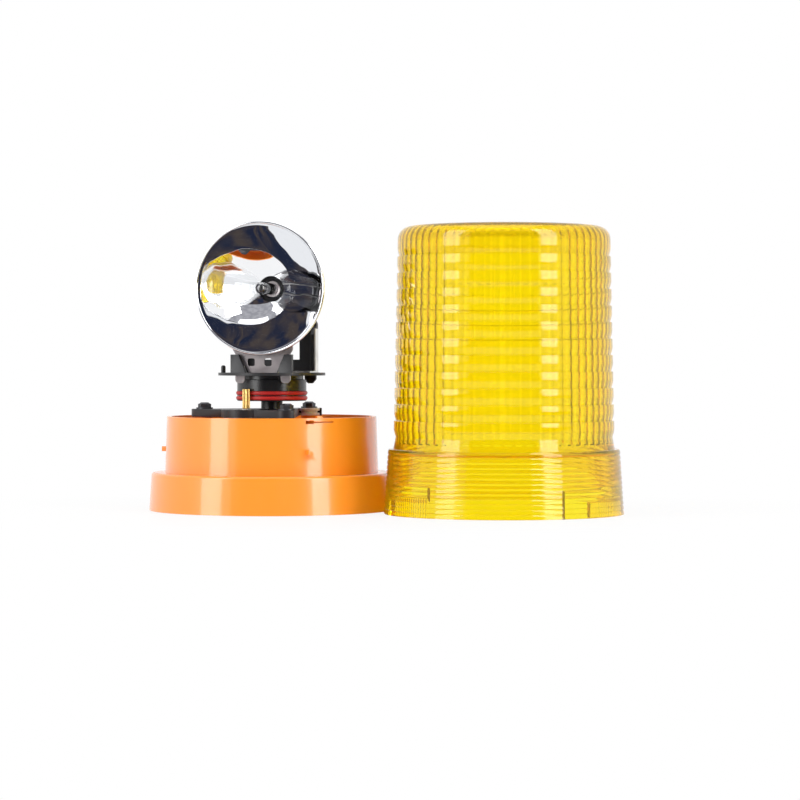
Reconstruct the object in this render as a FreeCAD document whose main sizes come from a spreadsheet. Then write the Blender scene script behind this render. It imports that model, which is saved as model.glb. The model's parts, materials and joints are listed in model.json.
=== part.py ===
"""Rotating beacon, opened for service.

An orange base holds a motor and a chassis plate.  The motor's brass roller presses on two silicone
rings and turns a drum, and with it a disc that carries a halogen lamp and a parabolic mirror.  The
amber lens stands beside the base, on the same surface.

Lengths are in millimetres and angles in degrees.  The origin is at the middle of the base's
underside, +Z is up, +X to the right and -Y to the front.
"""
import FreeCAD, Part
import os
import re
import Sketcher

from FreeCAD import Placement, Rotation, Vector

SIZES = {
    "Base housing": {
        "foot_radius": 75.0,
        "foot_taper": 1.5,
        "foot_height": 23.0,
        "foot_wall": 2.5,
        "foot_round": 1.8,
        "tube_inset": 9.7,
        "tube_taper": 1.2,
        "tube_wall": 2.6,
        "rim_height": 57.1,
        "floor_thickness": 4.0,
        "foot_rib_count": 12,
        "foot_rib_width": 2.0,
        "column_radius": 5.0,
        "mount_hole_radius": 2.75,
        "mount_inset": 13.3,
        "mount_first_azimuth": 112.0,
        "cable_azimuth": 142.0,
        "cable_circle_radius": 36.0,
        "gasket_inset": 8.8,
        "gasket_width": 4.5,
        "gasket_thickness": 2.0,
    },
    "Bayonet": {
        "lug_count": 3,
        "lug_azimuth": 52.3,
        "lug_root": 2.0,
        "lug_reach": 3.3,
        "lug_width": 2.9,
        "lug_height": 3.0,
        "lug_middle": 36.9,
        "detent_azimuth": 299.1,
        "detent_span": 16.6,
        "detent_slit": 0.8,
        "detent_mouth_span": 4.7,
        "detent_mouth": 2.0,
        "detent_drop": 2.4,
        "detent_bump_span": 3.0,
        "detent_bump": 1.2,
    },
    "Chassis": {
        "plate_drop": 0.3,
        "plate_height": 4.7,
        "plate_skin": 1.7,
        "plate_wall": 1.8,
        "plate_lobe": 8.0,
        "left_screw_azimuth": 172.5,
        "rear_screw_azimuth": 59.0,
        "front_screw_azimuth": -75.0,
        "screw_circle_radius": 42.0,
        "boss_radius": 6.55,
        "boss_rise": 4.8,
        "boss_depth": 10.0,
        "running_gap": 0.3,
        "grommet_radius": 6.65,
        "grommet_waist": 5.2,
        "fork_thickness": 1.3,
        "fork_azimuth": -90.0,
        "fork_reach": 88.0,
        "fork_seat": 6.0,
        "fork_width": 24.0,
        "screw_radius": 2.0,
        "screw_depth": 12.0,
        "screw_flats": 7.0,
        "screw_head": 2.2,
        "screw_crown": 0.9,
        "screw_crown_radius": 2.3,
        "washer_radius": 5.15,
        "washer_thickness": 0.9,
        "fit_gap": 0.1,
    },
    "Spindle": {
        "spindle_radius": 4.0,
        "spindle_bore": 2.3,
        "spindle_foot": 44.8,
        "bush_gap": 0.03,
        "bush_outer": 6.0,
        "bush_length": 4.0,
        "clip_radius": 6.3,
        "clip_thickness": 0.8,
        "clip_groove": 0.5,
        "clip_land": 1.2,
        "brush_radius": 1.4,
        "brush_length": 7.0,
        "spring_wire": 0.45,
        "spring_coils": 6,
    },
    "Motor": {
        "roller_radius": 2.25,
        "roller_length": 12.0,
        "drive_gap": 0.1,
        "motor_azimuth": 232.75,
        "can_radius": 13.8,
        "can_wall": 1.0,
        "can_length": 34.0,
        "nose_radius": 4.0,
        "nose_height": 1.9,
        "motor_bush_outer": 2.6,
        "roller_lift": 0.6,
        "shaft_radius": 1.15,
        "shaft_gap": 0.05,
        "shaft_tail": 1.0,
        "magnet_thickness": 3.2,
        "magnet_length": 22.0,
        "magnet_span": 130.0,
        "air_gap": 0.6,
        "armature_length": 18.0,
        "armature_slot": 2.2,
        "armature_core": 3.4,
        "commutator_radius": 2.8,
        "commutator_length": 4.5,
        "end_cap_thickness": 3.0,
        "motor_screw_spread": 8.2,
        "motor_screw_radius": 1.3,
        "motor_screw_head": 2.4,
        "platform_wall": 1.4,
    },
    "Terminals": {
        "terminal_azimuth": 88.0,
        "terminal_circle_radius": 45.0,
        "terminal_length": 22.0,
        "terminal_depth": 12.0,
        "terminal_height": 11.0,
        "terminal_step": 4.0,
        "terminal_pitch": 9.0,
        "terminal_screw_radius": 2.2,
        "terminal_screw_rise": 1.0,
        "cable_grommet_radius": 6.0,
        "cable_grommet_flange": 8.6,
        "cable_grommet_lip": 1.8,
        "cable_bore": 3.4,
    },
    "Rotor": {
        "rest_turn": 13.0,
        "drum_radius": 21.2,
        "drum_height": 13.0,
        "drum_hub": 9.0,
        "drum_wall": 4.2,
        "drum_web": 3.2,
        "neck_radius": 19.4,
        "neck_height": 2.5,
        "ring_section": 1.3,
        "ring_proud": 0.7,
        "ring_first": 1.7,
        "ring_pitch": 3.1,
        "disc_radius": 32.8,
        "disc_thickness": 1.7,
        "peg_radius": 1.4,
        "peg_height": 4.5,
        "peg_inset": 2.4,
        "peg_azimuth": 184.0,
        "post_outer": 19.2,
        "post_height": 11.1,
        "post_depth": 3.8,
        "contact_radius": 3.4,
        "contact_thickness": 0.8,
        "contact_stem": 1.2,
    },
    "Mirror bracket": {
        "bracket_sheet": 1.2,
        "bracket_setback": 20.0,
        "bracket_foot_width": 17.6,
        "bracket_waist_width": 27.6,
        "bracket_waist_rise": 11.5,
        "bracket_width": 37.6,
        "bracket_horn": 0.2,
        "leg_inner": 11.3,
        "leg_width": 6.0,
        "leg_notch": 0.6,
        "leg_drop": 6.3,
        "leg_round": 2.4,
        "window_size": 4.7,
        "window_spread": 5.3,
        "window_rise": 6.4,
        "window_shift": -2.0,
        "window_round": 1.2,
    },
    "Mirror": {
        "mirror_clearance": 12.2,
        "mirror_radius": 39.0,
        "mirror_depth": 26.5,
        "mirror_mouth": 27.0,
        "mirror_wall": 2.0,
        "mirror_neck": 8.0,
        "mirror_lip": 0.8,
    },
    "Lamp holder": {
        "holder_half_width": 24.0,
        "holder_shoulder": 14.5,
        "holder_wall": 4.0,
        "holder_gap": 17.0,
        "holder_window_width": 26.0,
        "holder_window_height": 22.0,
        "holder_window_rise": 8.0,
        "cheek_depth": 6.5,
        "cheek_wall": 2.4,
        "cheek_height": 30.0,
        "snap_inner": 16.0,
        "snap_outer": 23.3,
        "snap_drop": 5.0,
        "snap_thickness": 2.6,
        "snap_front": 17.2,
        "snap_tip": 2.2,
        "socket_radius": 9.2,
        "socket_gap": 0.4,
        "socket_wall": 1.6,
        "flange_radius": 7.25,
        "flange_thickness": 1.1,
        "base_to_filament": 25.0,
        "barrel_radius": 4.9,
        "barrel_length": 9.0,
        "glass_radius": 3.6,
        "glass_wall": 0.8,
        "glass_length": 28.0,
        "filament_radius": 0.7,
        "filament_length": 5.0,
        "blade_length": 8.0,
        "blade_width": 6.3,
        "blade_thickness": 0.8,
        "strip_sheet": 0.95,
        "strip_width": 7.0,
        "strip_front": 10.0,
        "strip_rise": 27.0,
        "strip_foot": 3.2,
    },
    "Lens": {
        "stand_azimuth": -17.4,
        "stand_gap": 0.6,
        "lens_turn": 0.0,
        "lens_height": 172.5,
        "lens_crown": 1.2,
        "lens_shoulder": 8.0,
        "lens_wall": 3.3,
        "lens_roof": 3.0,
        "lens_inset": 0.2,
        "lens_taper": 2.7,
        "band_count": 12,
        "band_start": 7.16,
        "band_depth": 1.2,
        "band_ramp": 4.8,
        "band_margin": 0.3,
        "flute_count": 64,
        "flute_roundness": 0.907,
        "flute_hollow": 0.1166,
        "flute_start": 4.0,
        "collar_wall": 5.4,
        "collar_taper": 2.5,
        "collar_height": 38.6,
        "collar_play": 1.1,
        "collar_roof": 2.1,
        "tooth_count": 13,
        "tooth_depth": 0.6,
        "track_clearance": 0.3,
        "track_low": 9.0,
        "track_high": 16.0,
        "track_lift": 1.9,
        "track_start": -62.2,
        "track_mouth_span": 16.0,
        "track_ramp_span": 26.0,
        "track_span": 50.9,
        "seal_width": 2.6,
        "seal_thickness": 1.2,
    },
}

ALIASES = {alias for group in SIZES.values() for alias in group}

DERIVED = {
    "foot_top_radius": "foot_radius - foot_taper",
    "tube_radius": "foot_radius - tube_inset",
    "tube_rim_radius": "tube_radius - tube_taper",
    "mount_circle_radius": "tube_radius - mount_inset",
    "gasket_inner_radius": "tube_radius - gasket_inset",
    "lug_radius": "tube_radius + lug_reach",
    "plate_under": "rim_height - plate_drop",
    "plate_top": "plate_under + plate_height",
    "skin_under": "plate_top - plate_skin",
    "column_height": "plate_under - floor_thickness",
    "boss_top": "plate_top + boss_rise",
    "motor_offset": "ring_radius + roller_radius + drive_gap",
    "motor_x": "motor_offset * cos(motor_azimuth)",
    "motor_y": "motor_offset * sin(motor_azimuth)",
    "can_top": "skin_under",
    "can_bottom": "can_top - can_length",
    "can_bore": "can_radius - can_wall",
    "armature_radius": "can_bore - magnet_thickness - air_gap",
    "armature_bottom": "can_bottom + can_length / 2 - armature_length / 2",
    "roller_bottom": "plate_top + roller_lift",
    "roller_top": "roller_bottom + roller_length",
    "drum_under": "boss_top + running_gap",
    "drum_top": "drum_under + drum_height",
    "disc_under": "drum_top + neck_height",
    "disc_top": "disc_under + disc_thickness",
    "ring_radius": "drum_radius + ring_proud",
    "ring_centre": "ring_radius - ring_section",
    "bush_top": "drum_top - clip_thickness",
    "clip_bottom": "bush_top + running_gap",
    "clip_top": "clip_bottom + clip_thickness",
    "spindle_top": "clip_top + clip_land",
    "brush_top": "disc_under - drive_gap",
    "mirror_height": "disc_top + mirror_radius + mirror_clearance",
    "mirror_setback": "mirror_depth - mirror_mouth",
    "mirror_focus": "mirror_radius^2 / (4 * mirror_depth)",
    "filament_y": "mirror_setback - mirror_focus",
    "lamp_seat": "filament_y + base_to_filament",
    "holder_front": "mirror_setback + holder_gap",
    "socket_bore": "barrel_radius + socket_gap",
    "socket_front": "mirror_setback + mirror_wall - mirror_neck^2 / (4 * mirror_focus) + fit_gap",
    "glass_back": "lamp_seat - barrel_length + fit_gap",
    "glass_tip": "glass_back - glass_length",
    "strip_inner": "holder_half_width + fit_gap",
    "strip_outer": "strip_inner + strip_sheet",
    "bracket_front": "bracket_setback + bracket_sheet / 2",
    "bracket_back": "bracket_setback - bracket_sheet / 2",
    "bracket_arc": "2 * sqrt(mirror_focus * (mirror_setback + mirror_wall + bracket_front)) + fit_gap",
    "bracket_rise": "mirror_height - disc_top - sqrt(bracket_arc^2 - bracket_width^2 / 4) + bracket_horn",
    "collar_bore": "tube_radius + collar_play",
    "collar_radius": "collar_bore + collar_wall",
    "lens_radius": "collar_bore - lens_inset",
    "band_top": "lens_height - lens_crown - lens_shoulder - band_margin",
    "bench_distance": "foot_radius + collar_radius + stand_gap",
    "shelf_height": "collar_height - collar_roof",
    "lens_bore": "lens_radius - lens_wall",
    "lens_slope": "lens_taper / (band_top - collar_height)",
    "band_bottom": "collar_height + band_start",
    "band_pitch": "(band_top - band_bottom) / band_count",
    "flute_pitch": "6.2832 * lens_bore / flute_count",
    "flute_radius": "flute_roundness * flute_pitch",
    "flute_depth": "flute_hollow * flute_pitch",
    "roof_under": "lens_height - lens_crown - lens_roof",
    "inner_shoulder": "lens_shoulder - lens_roof / 2",
}

DOC = FreeCAD.newDocument("rotating_beacon")
SHEET = DOC.addObject("Spreadsheet::Sheet", "Sizes")
NODES = []


def fill_sheet():
    """Write every driving size into the sheet, one alias to a row."""
    row = 1
    for group, entries in SIZES.items():
        SHEET.set(f"A{row}", group)
        row += 1
        for alias, number in entries.items():
            SHEET.set(f"A{row}", alias)
            SHEET.set(f"B{row}", str(number))
            SHEET.setAlias(f"B{row}", alias)
            row += 1
    DOC.recompute()


def formula(text):
    """Spell a size formula out in the sheet's aliases."""

    def spell(match):
        word = match.group(0)
        if word in DERIVED:
            return f"({formula(DERIVED[word])})"
        return f"Sizes.{word}" if word in ALIASES else word

    return re.sub(r"[a-z_]+", spell, str(text))


def value(text):
    """Return what a size formula comes to now."""
    number = SHEET.evalExpression(formula(text))
    return float(getattr(number, "Value", number))


def bind(item, **sizes):
    """Tie properties of an object to size formulas; a double underscore stands for a dot."""
    for name, text in sizes.items():
        item.setExpression(name.replace("__", "."), formula(text))


def node(label, item):
    """Name an object as one of the beacon's pieces."""
    item.Label = label
    NODES.append(item)
    return item


def place(item, x="0", y="0", z="0", clockwise=None, axis=Vector(0, 0, -1)):
    """Put an object at a spot, turned clockwise about the upright unless another axis is given."""
    if clockwise is not None:
        item.Placement = Placement(Vector(), Rotation(axis, 1.0))
        bind(item, Placement__Rotation__Angle=clockwise)
    bind(item, Placement__Base__x=x, Placement__Base__y=y, Placement__Base__z=z)
    return item


# Part Design helpers


def new_body(label):
    """Start a Part Design body that is one of the beacon's pieces."""
    body = DOC.addObject("PartDesign::Body", label)
    return node(label, body)


def datum(body, role):
    """Return one of a body's own origin planes or axes."""
    return next(part for part in body.Origin.OriginFeatures if part.Role == role)


def new_sketch(body, plane="XZ_Plane", out="0", turn=None, turn_axis=Vector(0, 1, 0)):
    """Open a sketch on an origin plane, moved out along its normal and turned about an axis."""
    sketch = body.newObject("Sketcher::SketchObject", f"{body.Label}_outline")
    sketch.AttachmentSupport = [(datum(body, plane), "")]
    sketch.MapMode = "FlatFace"
    if turn is not None:
        sketch.AttachmentOffset = Placement(Vector(), Rotation(turn_axis, 1.0))
        sketch.setExpression("AttachmentOffset.Rotation.Angle", formula(turn))
    if out != "0":
        sketch.setExpression("AttachmentOffset.Base.z", formula(out))
    return sketch


def pin_point(sketch, geometry, end, x, y):
    """Hold one point of a sketch at two size formulas."""
    for kind, text, axis in (("DistanceX", x, -2), ("DistanceY", y, -1)):
        if text == "0":
            sketch.addConstraint(Sketcher.Constraint("PointOnObject", geometry, end, axis))
        else:
            rule = Sketcher.Constraint(kind, -1, 1, geometry, end, value(text))
            number = sketch.addConstraint(rule)
            sketch.setExpression(f"Constraints[{number}]", formula(text))


def draw_outline(sketch, corners):
    """Draw a closed outline of straight edges through corners given as size formulas."""
    spots = [Vector(value(x), value(y), 0) for x, y in corners]
    first = sketch.GeometryCount
    count = len(corners)
    edges = [Part.LineSegment(a, b) for a, b in zip(spots, spots[1:] + spots[:1])]
    sketch.addGeometry(edges, False)
    for index in range(count):
        following = first + (index + 1) % count
        sketch.addConstraint(Sketcher.Constraint("Coincident", first + index, 2, following, 1))
    for index, (x, y) in enumerate(corners):
        pin_point(sketch, first + index, 1, x, y)
    return sketch


def draw_box(sketch, left, right, low, high):
    """Draw a rectangle between four size formulas."""
    return draw_outline(sketch, [(left, low), (right, low), (right, high), (left, high)])


def draw_circle(sketch, x, y, radius):
    """Draw a circle at a spot given as size formulas."""
    circle = Part.Circle(Vector(value(x), value(y), 0), Vector(0, 0, 1), value(radius))
    index = sketch.addGeometry(circle, False)
    pin_point(sketch, index, 3, x, y)
    number = sketch.addConstraint(Sketcher.Constraint("Radius", index, value(radius)))
    sketch.setExpression(f"Constraints[{number}]", formula(radius))
    return sketch


def add_feature(body, kind, sketch, **sizes):
    """Add a sketch-based feature whose sizes are formulas."""
    feature = body.newObject(f"PartDesign::{kind}", f"{body.Label}_{kind.lower()}")
    feature.Profile = sketch
    bind(feature, **sizes)
    return feature


def pad(body, sketch, length, both=False):
    """Raise a sketch by a length, to both sides if asked."""
    feature = add_feature(body, "Pad", sketch, Length=length)
    feature.Midplane = both
    return feature


def pocket(body, sketch, depth, along=False):
    """Cut a sketch into the body, along the sketch's normal if asked, otherwise against it."""
    feature = add_feature(body, "Pocket", sketch, Length=depth)
    feature.Reversed = along
    return feature


def turn_profile(body, sketch, kind="Revolution", axis="V_Axis", angle="360"):
    """Turn a sketch about one of its own axes, as added or as cut material."""
    feature = add_feature(body, kind, sketch)
    feature.ReferenceAxis = (sketch, [axis])
    bind(feature, Angle=angle)
    return feature


def repeat_round(body, features, count, angle="360"):
    """Repeat features round the upright axis."""
    pattern = body.newObject("PartDesign::PolarPattern", f"{body.Label}_pattern")
    pattern.Originals = features
    pattern.Axis = (datum(body, "Z_Axis"), [""])
    bind(pattern, Angle=angle, Occurrences=count)
    body.Tip = pattern
    return pattern


def mirror_over(body, features, plane="YZ_Plane"):
    """Repeat features on the other side of an origin plane."""
    mirrored = body.newObject("PartDesign::Mirrored", f"{body.Label}_mirrored")
    mirrored.Originals = features
    mirrored.MirrorPlane = (datum(body, plane), [""])
    body.Tip = mirrored
    return mirrored


def round_edges(body, radius, wanted):
    """Fillet the edges of a body's last feature that a test picks."""
    DOC.recompute()
    base = body.Tip
    names = [f"Edge{n}" for n, edge in enumerate(base.Shape.Edges, 1) if wanted(edge)]
    fillet = body.newObject("PartDesign::Fillet", f"{body.Label}_fillet")
    fillet.Base = (base, names)
    bind(fillet, Radius=radius)
    return fillet


def circle_test(radius, height):
    """Return a test that picks round edges of a radius at a height."""

    def wanted(edge):
        curve = edge.Curve
        if not isinstance(curve, Part.Circle):
            return False
        return abs(curve.Radius - value(radius)) < 1e-3 and abs(curve.Center.z - value(height)) < 1e-3

    return wanted


def turned(label, corners):
    """Make a piece turned about the upright axis from (radius, height) corners."""
    body = new_body(label)
    turn_profile(body, draw_outline(new_sketch(body), corners))
    return body


def turned_on_beam(label, corners):
    """Make a piece of the rotor turned about the mirror's axis from (y, radius) corners."""
    body = new_body(label)
    sketch = draw_outline(new_sketch(body, "YZ_Plane"), corners)
    turn_profile(body, sketch, axis="H_Axis")
    return on_rotor(body, "mirror_height")


def sleeve_corners(inner, outer, bottom, top):
    """Return the profile of a plain ring."""
    return [(inner, bottom), (outer, bottom), (outer, top), (inner, top)]


def on_rotor(item, z="0"):
    """Turn a piece with the rotor to the direction in which the mirror rests."""
    return place(item, z=z, clockwise="rest_turn")


def on_motor(item):
    """Move a piece from the upright axis to the motor's axis."""
    return place(item, x="motor_x", y="motor_y")


# Part helpers


def primitive(kind, name, x="0", y="0", z="0", **sizes):
    """Make a Part primitive whose sizes and place are formulas."""
    item = DOC.addObject(f"Part::{kind}", name)
    bind(item, **sizes)
    return place(item, x, y, z)


def cylinder(name, radius, bottom, height, x="0", y="0"):
    """Make an upright cylinder."""
    return primitive("Cylinder", name, x, y, bottom, Radius=radius, Height=height)


def join(name, *items):
    """Fuse solids into one."""
    fused = DOC.addObject("Part::MultiFuse", name)
    fused.Shapes = list(items)
    fused.Refine = True
    return fused


def cut_away(name, base, *tools):
    """Cut tools out of a solid."""
    tool = tools[0] if len(tools) == 1 else join(f"{name}_tools", *tools)
    cut = DOC.addObject("Part::Cut", name)
    cut.Base = base
    cut.Tool = tool
    return cut


def group(label, items):
    """Keep like solids together as one piece of the parts list."""
    compound = DOC.addObject("Part::Compound", label)
    compound.Links = items
    return node(label, compound)


def screw_spots():
    """Return the three chassis screws' names and places as formulas."""
    names = ("left", "rear", "front")
    return [
        (name, f"screw_circle_radius * cos({name}_screw_azimuth)",
         f"screw_circle_radius * sin({name}_screw_azimuth)")
        for name in names
    ]


# The base and what is fixed in it


def make_base_housing():
    """Moulded base: a ribbed foot, a tapered tube with a bayonet, a floor and three columns."""
    body = new_body("base_housing")
    profile = [
        ("0", "0"),
        ("tube_radius", "0"),
        ("tube_radius", "foot_height - foot_wall"),
        ("foot_top_radius - foot_wall", "foot_height - foot_wall"),
        ("foot_radius - foot_wall", "0"),
        ("foot_radius", "0"),
        ("foot_top_radius", "foot_height"),
        ("tube_radius", "foot_height"),
        ("tube_rim_radius", "rim_height"),
        ("tube_rim_radius - tube_wall", "rim_height"),
        ("tube_radius - tube_wall", "floor_thickness"),
        ("0", "floor_thickness"),
    ]
    turn_profile(body, draw_outline(new_sketch(body), profile))
    round_edges(body, "foot_round", circle_test("foot_top_radius", "foot_height"))
    rib_sketch = new_sketch(body, "XY_Plane")
    draw_box(rib_sketch, "tube_radius - foot_wall / 4", "foot_top_radius - foot_wall / 2",
             "-foot_rib_width / 2", "foot_rib_width / 2")
    rib = pad(body, rib_sketch, "foot_height - foot_wall / 2")
    repeat_round(body, [rib], "foot_rib_count")
    lug_sketch = new_sketch(body, "XY_Plane", "lug_middle - lug_height / 2", "lug_azimuth",
                            Vector(0, 0, 1))
    draw_box(lug_sketch, "tube_radius - lug_root", "lug_radius", "-lug_width / 2", "lug_width / 2")
    lug = pad(body, lug_sketch, "lug_height")
    repeat_round(body, [lug], "lug_count")
    for _, x, y in screw_spots():
        column = draw_circle(new_sketch(body, "XY_Plane", "floor_thickness / 2"), x, y, "column_radius")
        pad(body, column, "column_height + floor_thickness / 2")
    for _, x, y in screw_spots():
        pilot = draw_circle(new_sketch(body, "XY_Plane", "plate_under"), x, y, "screw_radius")
        pocket(body, pilot, "screw_depth - plate_height")
    hole_sketch = new_sketch(body, "XY_Plane", "floor_thickness", "mount_first_azimuth",
                             Vector(0, 0, 1))
    hole = pocket(body, draw_circle(hole_sketch, "mount_circle_radius", "0", "mount_hole_radius"),
                  "floor_thickness")
    repeat_round(body, [hole], "lug_count")
    cable_sketch = new_sketch(body, "XY_Plane", "floor_thickness", "cable_azimuth", Vector(0, 0, 1))
    draw_circle(cable_sketch, "cable_circle_radius", "0", "cable_grommet_radius")
    pocket(body, cable_sketch, "floor_thickness")
    gasket_sketch = draw_box(new_sketch(body), "gasket_inner_radius",
                             "gasket_inner_radius + gasket_width", "0", "gasket_thickness")
    turn_profile(body, gasket_sketch, "Groove")
    cut_detent(body)


def cut_detent(body):
    """Cut the sprung tongue that holds the lens at the end of its turn, with its bump."""
    low = "rim_height - detent_drop"
    inner = "tube_rim_radius - 2 * tube_wall"
    outer = "tube_radius + tube_wall"
    cuts = [
        ("detent_azimuth", "detent_span", "detent_slit"),
        ("detent_azimuth - detent_span / 2 + detent_mouth_span / 2", "detent_mouth_span",
         "detent_mouth"),
    ]
    for azimuth, span, height in cuts:
        sketch = new_sketch(body, turn=azimuth)
        draw_box(sketch, inner, outer, f"{low} - {height} / 2", f"{low} + {height} / 2")
        turn_profile(body, sketch, "Groove", angle=span).Midplane = True
    sketch = new_sketch(body, turn="detent_azimuth")
    draw_box(sketch, "tube_rim_radius - tube_wall", "tube_rim_radius", "rim_height - detent_bump",
             "rim_height + detent_bump")
    turn_profile(body, sketch, angle="detent_bump_span").Midplane = True


def make_mounting_gasket():
    """Flat rubber ring let into the underside of the floor, flush with it."""
    turned("mounting_gasket", sleeve_corners("gasket_inner_radius",
                                             "gasket_inner_radius + gasket_width",
                                             "0", "gasket_thickness"))


def plate_slab(name, inset, bottom, height):
    """Extrude the rounded triangle round the three chassis screws, inset from the plate's edge."""
    corners = DOC.addObject("Sketcher::SketchObject", f"{name}_corners")
    draw_outline(corners, [(x, y) for _, x, y in screw_spots()])
    edge = DOC.addObject("Part::Offset2D", f"{name}_edge")
    edge.Source = corners
    edge.Join = "Arc"
    bind(edge, Value=f"plate_lobe - {inset}")
    slab = DOC.addObject("Part::Extrusion", name)
    slab.Base = edge
    slab.DirMode = "Custom"
    slab.Dir = Vector(0, 0, 1)
    slab.Solid = True
    bind(slab, LengthFwd=height)
    return place(slab, z=bottom)


def make_chassis_plate():
    """Black tray on the columns: a skin with a skirt, a spindle boss and the motor's platform."""
    shell = [plate_slab("plate_blank", "0", "plate_under", "plate_height")]
    shell.append(cylinder("plate_platform", "can_radius + platform_wall", "plate_under",
                          "plate_height", "motor_x", "motor_y"))
    spots = {name: (x, y) for name, x, y in screw_spots()}
    inside = plate_slab("plate_inside", "plate_wall", "plate_under", "skin_under - plate_under")
    hollow = [cut_away("plate_hollow", inside, fork_slot("plate_side", "plate_wall", *spots["rear"]))]
    tray = cut_away("plate_tray", join("plate_shell", *shell), *hollow)
    bosses = [cylinder("plate_boss", "boss_radius", "plate_under - boss_depth",
                       "boss_top - plate_under + boss_depth")]
    for name, x, y in screw_spots():
        bosses.append(cylinder(f"plate_{name}_boss", "plate_lobe", "plate_under", "plate_height",
                               x, y))
    cuts = [cylinder("plate_bore", "spindle_radius", "plate_under - boss_depth",
                     "boss_top - plate_under + boss_depth")]
    cuts.append(cylinder("plate_can_seat", "can_radius + fit_gap", "plate_under",
                         "skin_under - plate_under", "motor_x", "motor_y"))
    cuts.append(cylinder("plate_nose_hole", "nose_radius + fit_gap", "skin_under", "plate_skin",
                         "motor_x", "motor_y"))
    for name in ("left", "front"):
        cuts.append(cylinder(f"plate_{name}_hole", "screw_radius", "plate_under", "plate_height",
                             *spots[name]))
    cuts += fork_cuts(*spots["rear"])
    cuts += [motor_screw(f"plate_{side}_sink", side) for side in (-1, 1)]
    node("chassis_plate", cut_away("chassis_plate", join("plate_body", tray, *bosses), *cuts))


def fork_cuts(x, y):
    """Return the cuts that open the plate into a fork round the grommet's waist."""
    low = "(plate_height - fork_thickness) / 2"
    cuts = [
        cylinder("fork_waist", "grommet_waist", "plate_under", "plate_height", x, y),
        cylinder("fork_low", "grommet_radius + fit_gap", "plate_under", low, x, y),
        cylinder("fork_high", "grommet_radius + fit_gap", f"plate_top - {low}", low, x, y),
    ]
    cuts.append(fork_slot("fork_slot", "0", x, y))
    return cuts


def fork_slot(name, wall, x, y):
    """Return a box over the plate's open side, grown by a wall."""
    slot = primitive("Box", name, Length="fork_reach", Width="fork_width", Height="plate_height")
    slot.Placement = Placement(Vector(), Rotation(Vector(0, 0, -1), 1.0))
    bind(slot, Placement__Rotation__Angle="-fork_azimuth")
    corner_x = f"{x} + (fork_seat + {wall}) * sin(fork_azimuth)"
    corner_y = f"{y} - (fork_seat + {wall}) * cos(fork_azimuth)"
    return place(slot, corner_x, corner_y, "plate_under")


def make_chassis_grommet():
    """Pale silicone spool in the plate's open fork; its waist holds the fork."""
    lip = "(plate_height - fork_thickness) / 2"
    body = turned("chassis_grommet", [
        ("screw_radius", "0"),
        ("grommet_radius", "0"),
        ("grommet_radius", lip),
        ("grommet_waist", lip),
        ("grommet_waist", f"plate_height - {lip}"),
        ("grommet_radius", f"plate_height - {lip}"),
        ("grommet_radius", "plate_height"),
        ("screw_radius", "plate_height"),
    ])
    _, x, y = screw_spots()[1]
    place(body, x, y, "plate_under")


def make_chassis_screws():
    """Three hexagon-headed screws with a low crown, and the washers under them."""
    screws = []
    washers = []
    seat = "plate_top + washer_thickness"
    for name, x, y in screw_spots():
        head = primitive("Prism", f"{name}_head", x, y, seat, Height="screw_head",
                         Circumradius="screw_flats / sqrt(3)")
        crown = primitive("Cone", f"{name}_crown", x, y, f"{seat} + screw_head",
                          Radius1="screw_flats / 2", Radius2="screw_crown_radius",
                          Height="screw_crown")
        shank = cylinder(f"{name}_shank", "screw_radius", "plate_top - screw_depth",
                         "screw_depth + washer_thickness", x, y)
        screws.append(join(f"{name}_screw", head, crown, shank))
        disc = cylinder(f"{name}_disc", "washer_radius", "plate_top", "washer_thickness", x, y)
        hole = cylinder(f"{name}_disc_hole", "screw_radius", "plate_top", "washer_thickness", x, y)
        washers.append(cut_away(f"{name}_washer", disc, hole))
    group("chassis_screws", screws)
    group("chassis_washers", washers)


def make_spindle():
    """Hollow steel spindle in the plate's boss, with its clip and the live brush inside it."""
    groove = "spindle_radius - clip_groove"
    turned("spindle", [
        ("spindle_bore", "spindle_foot"),
        ("spindle_radius", "spindle_foot"),
        ("spindle_radius", "clip_bottom"),
        (groove, "clip_bottom"),
        (groove, "clip_top"),
        ("spindle_radius", "clip_top"),
        ("spindle_radius", "spindle_top"),
        ("spindle_bore", "spindle_top"),
    ])
    clip = turned("spindle_clip", sleeve_corners(groove, "clip_radius", "clip_bottom", "clip_top"))
    mouth = new_sketch(clip, "XY_Plane", "clip_top")
    draw_box(mouth, "-clip_groove * 3", "clip_groove * 3", "-clip_radius - clip_groove", "-clip_groove")
    pocket(clip, mouth, "clip_thickness")
    sleeve_bore = "brush_radius + fit_gap"
    turned("brush_sleeve", sleeve_corners(sleeve_bore, "spindle_bore", "spindle_foot", "spindle_top"))
    turned("contact_brush", [("0", "brush_top - brush_length"), ("brush_radius", "brush_top - brush_length"),
                             ("brush_radius", "brush_top"), ("0", "brush_top")])
    make_brush_spring()


def make_brush_spring():
    """Coil spring under the brush, seated in the sleeve."""
    wire = value("spring_wire")
    radius = value("brush_radius") - wire / 2
    pitch = 2 * wire
    coils = value("spring_coils")
    path = Part.makeHelix(pitch, pitch * coils, radius)
    section = Part.Wire([Part.makeCircle(wire / 2, Vector(radius, 0, 0), Vector(0, 1, 0))])
    spring = DOC.addObject("Part::Feature", "brush_spring")
    spring.Shape = Part.Wire(path.Edges).makePipeShell([section], True, True)
    node("brush_spring", spring)
    place(spring, z=f"brush_top - brush_length - spring_wire * (2 * spring_coils + 0.5) - fit_gap")


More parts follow.
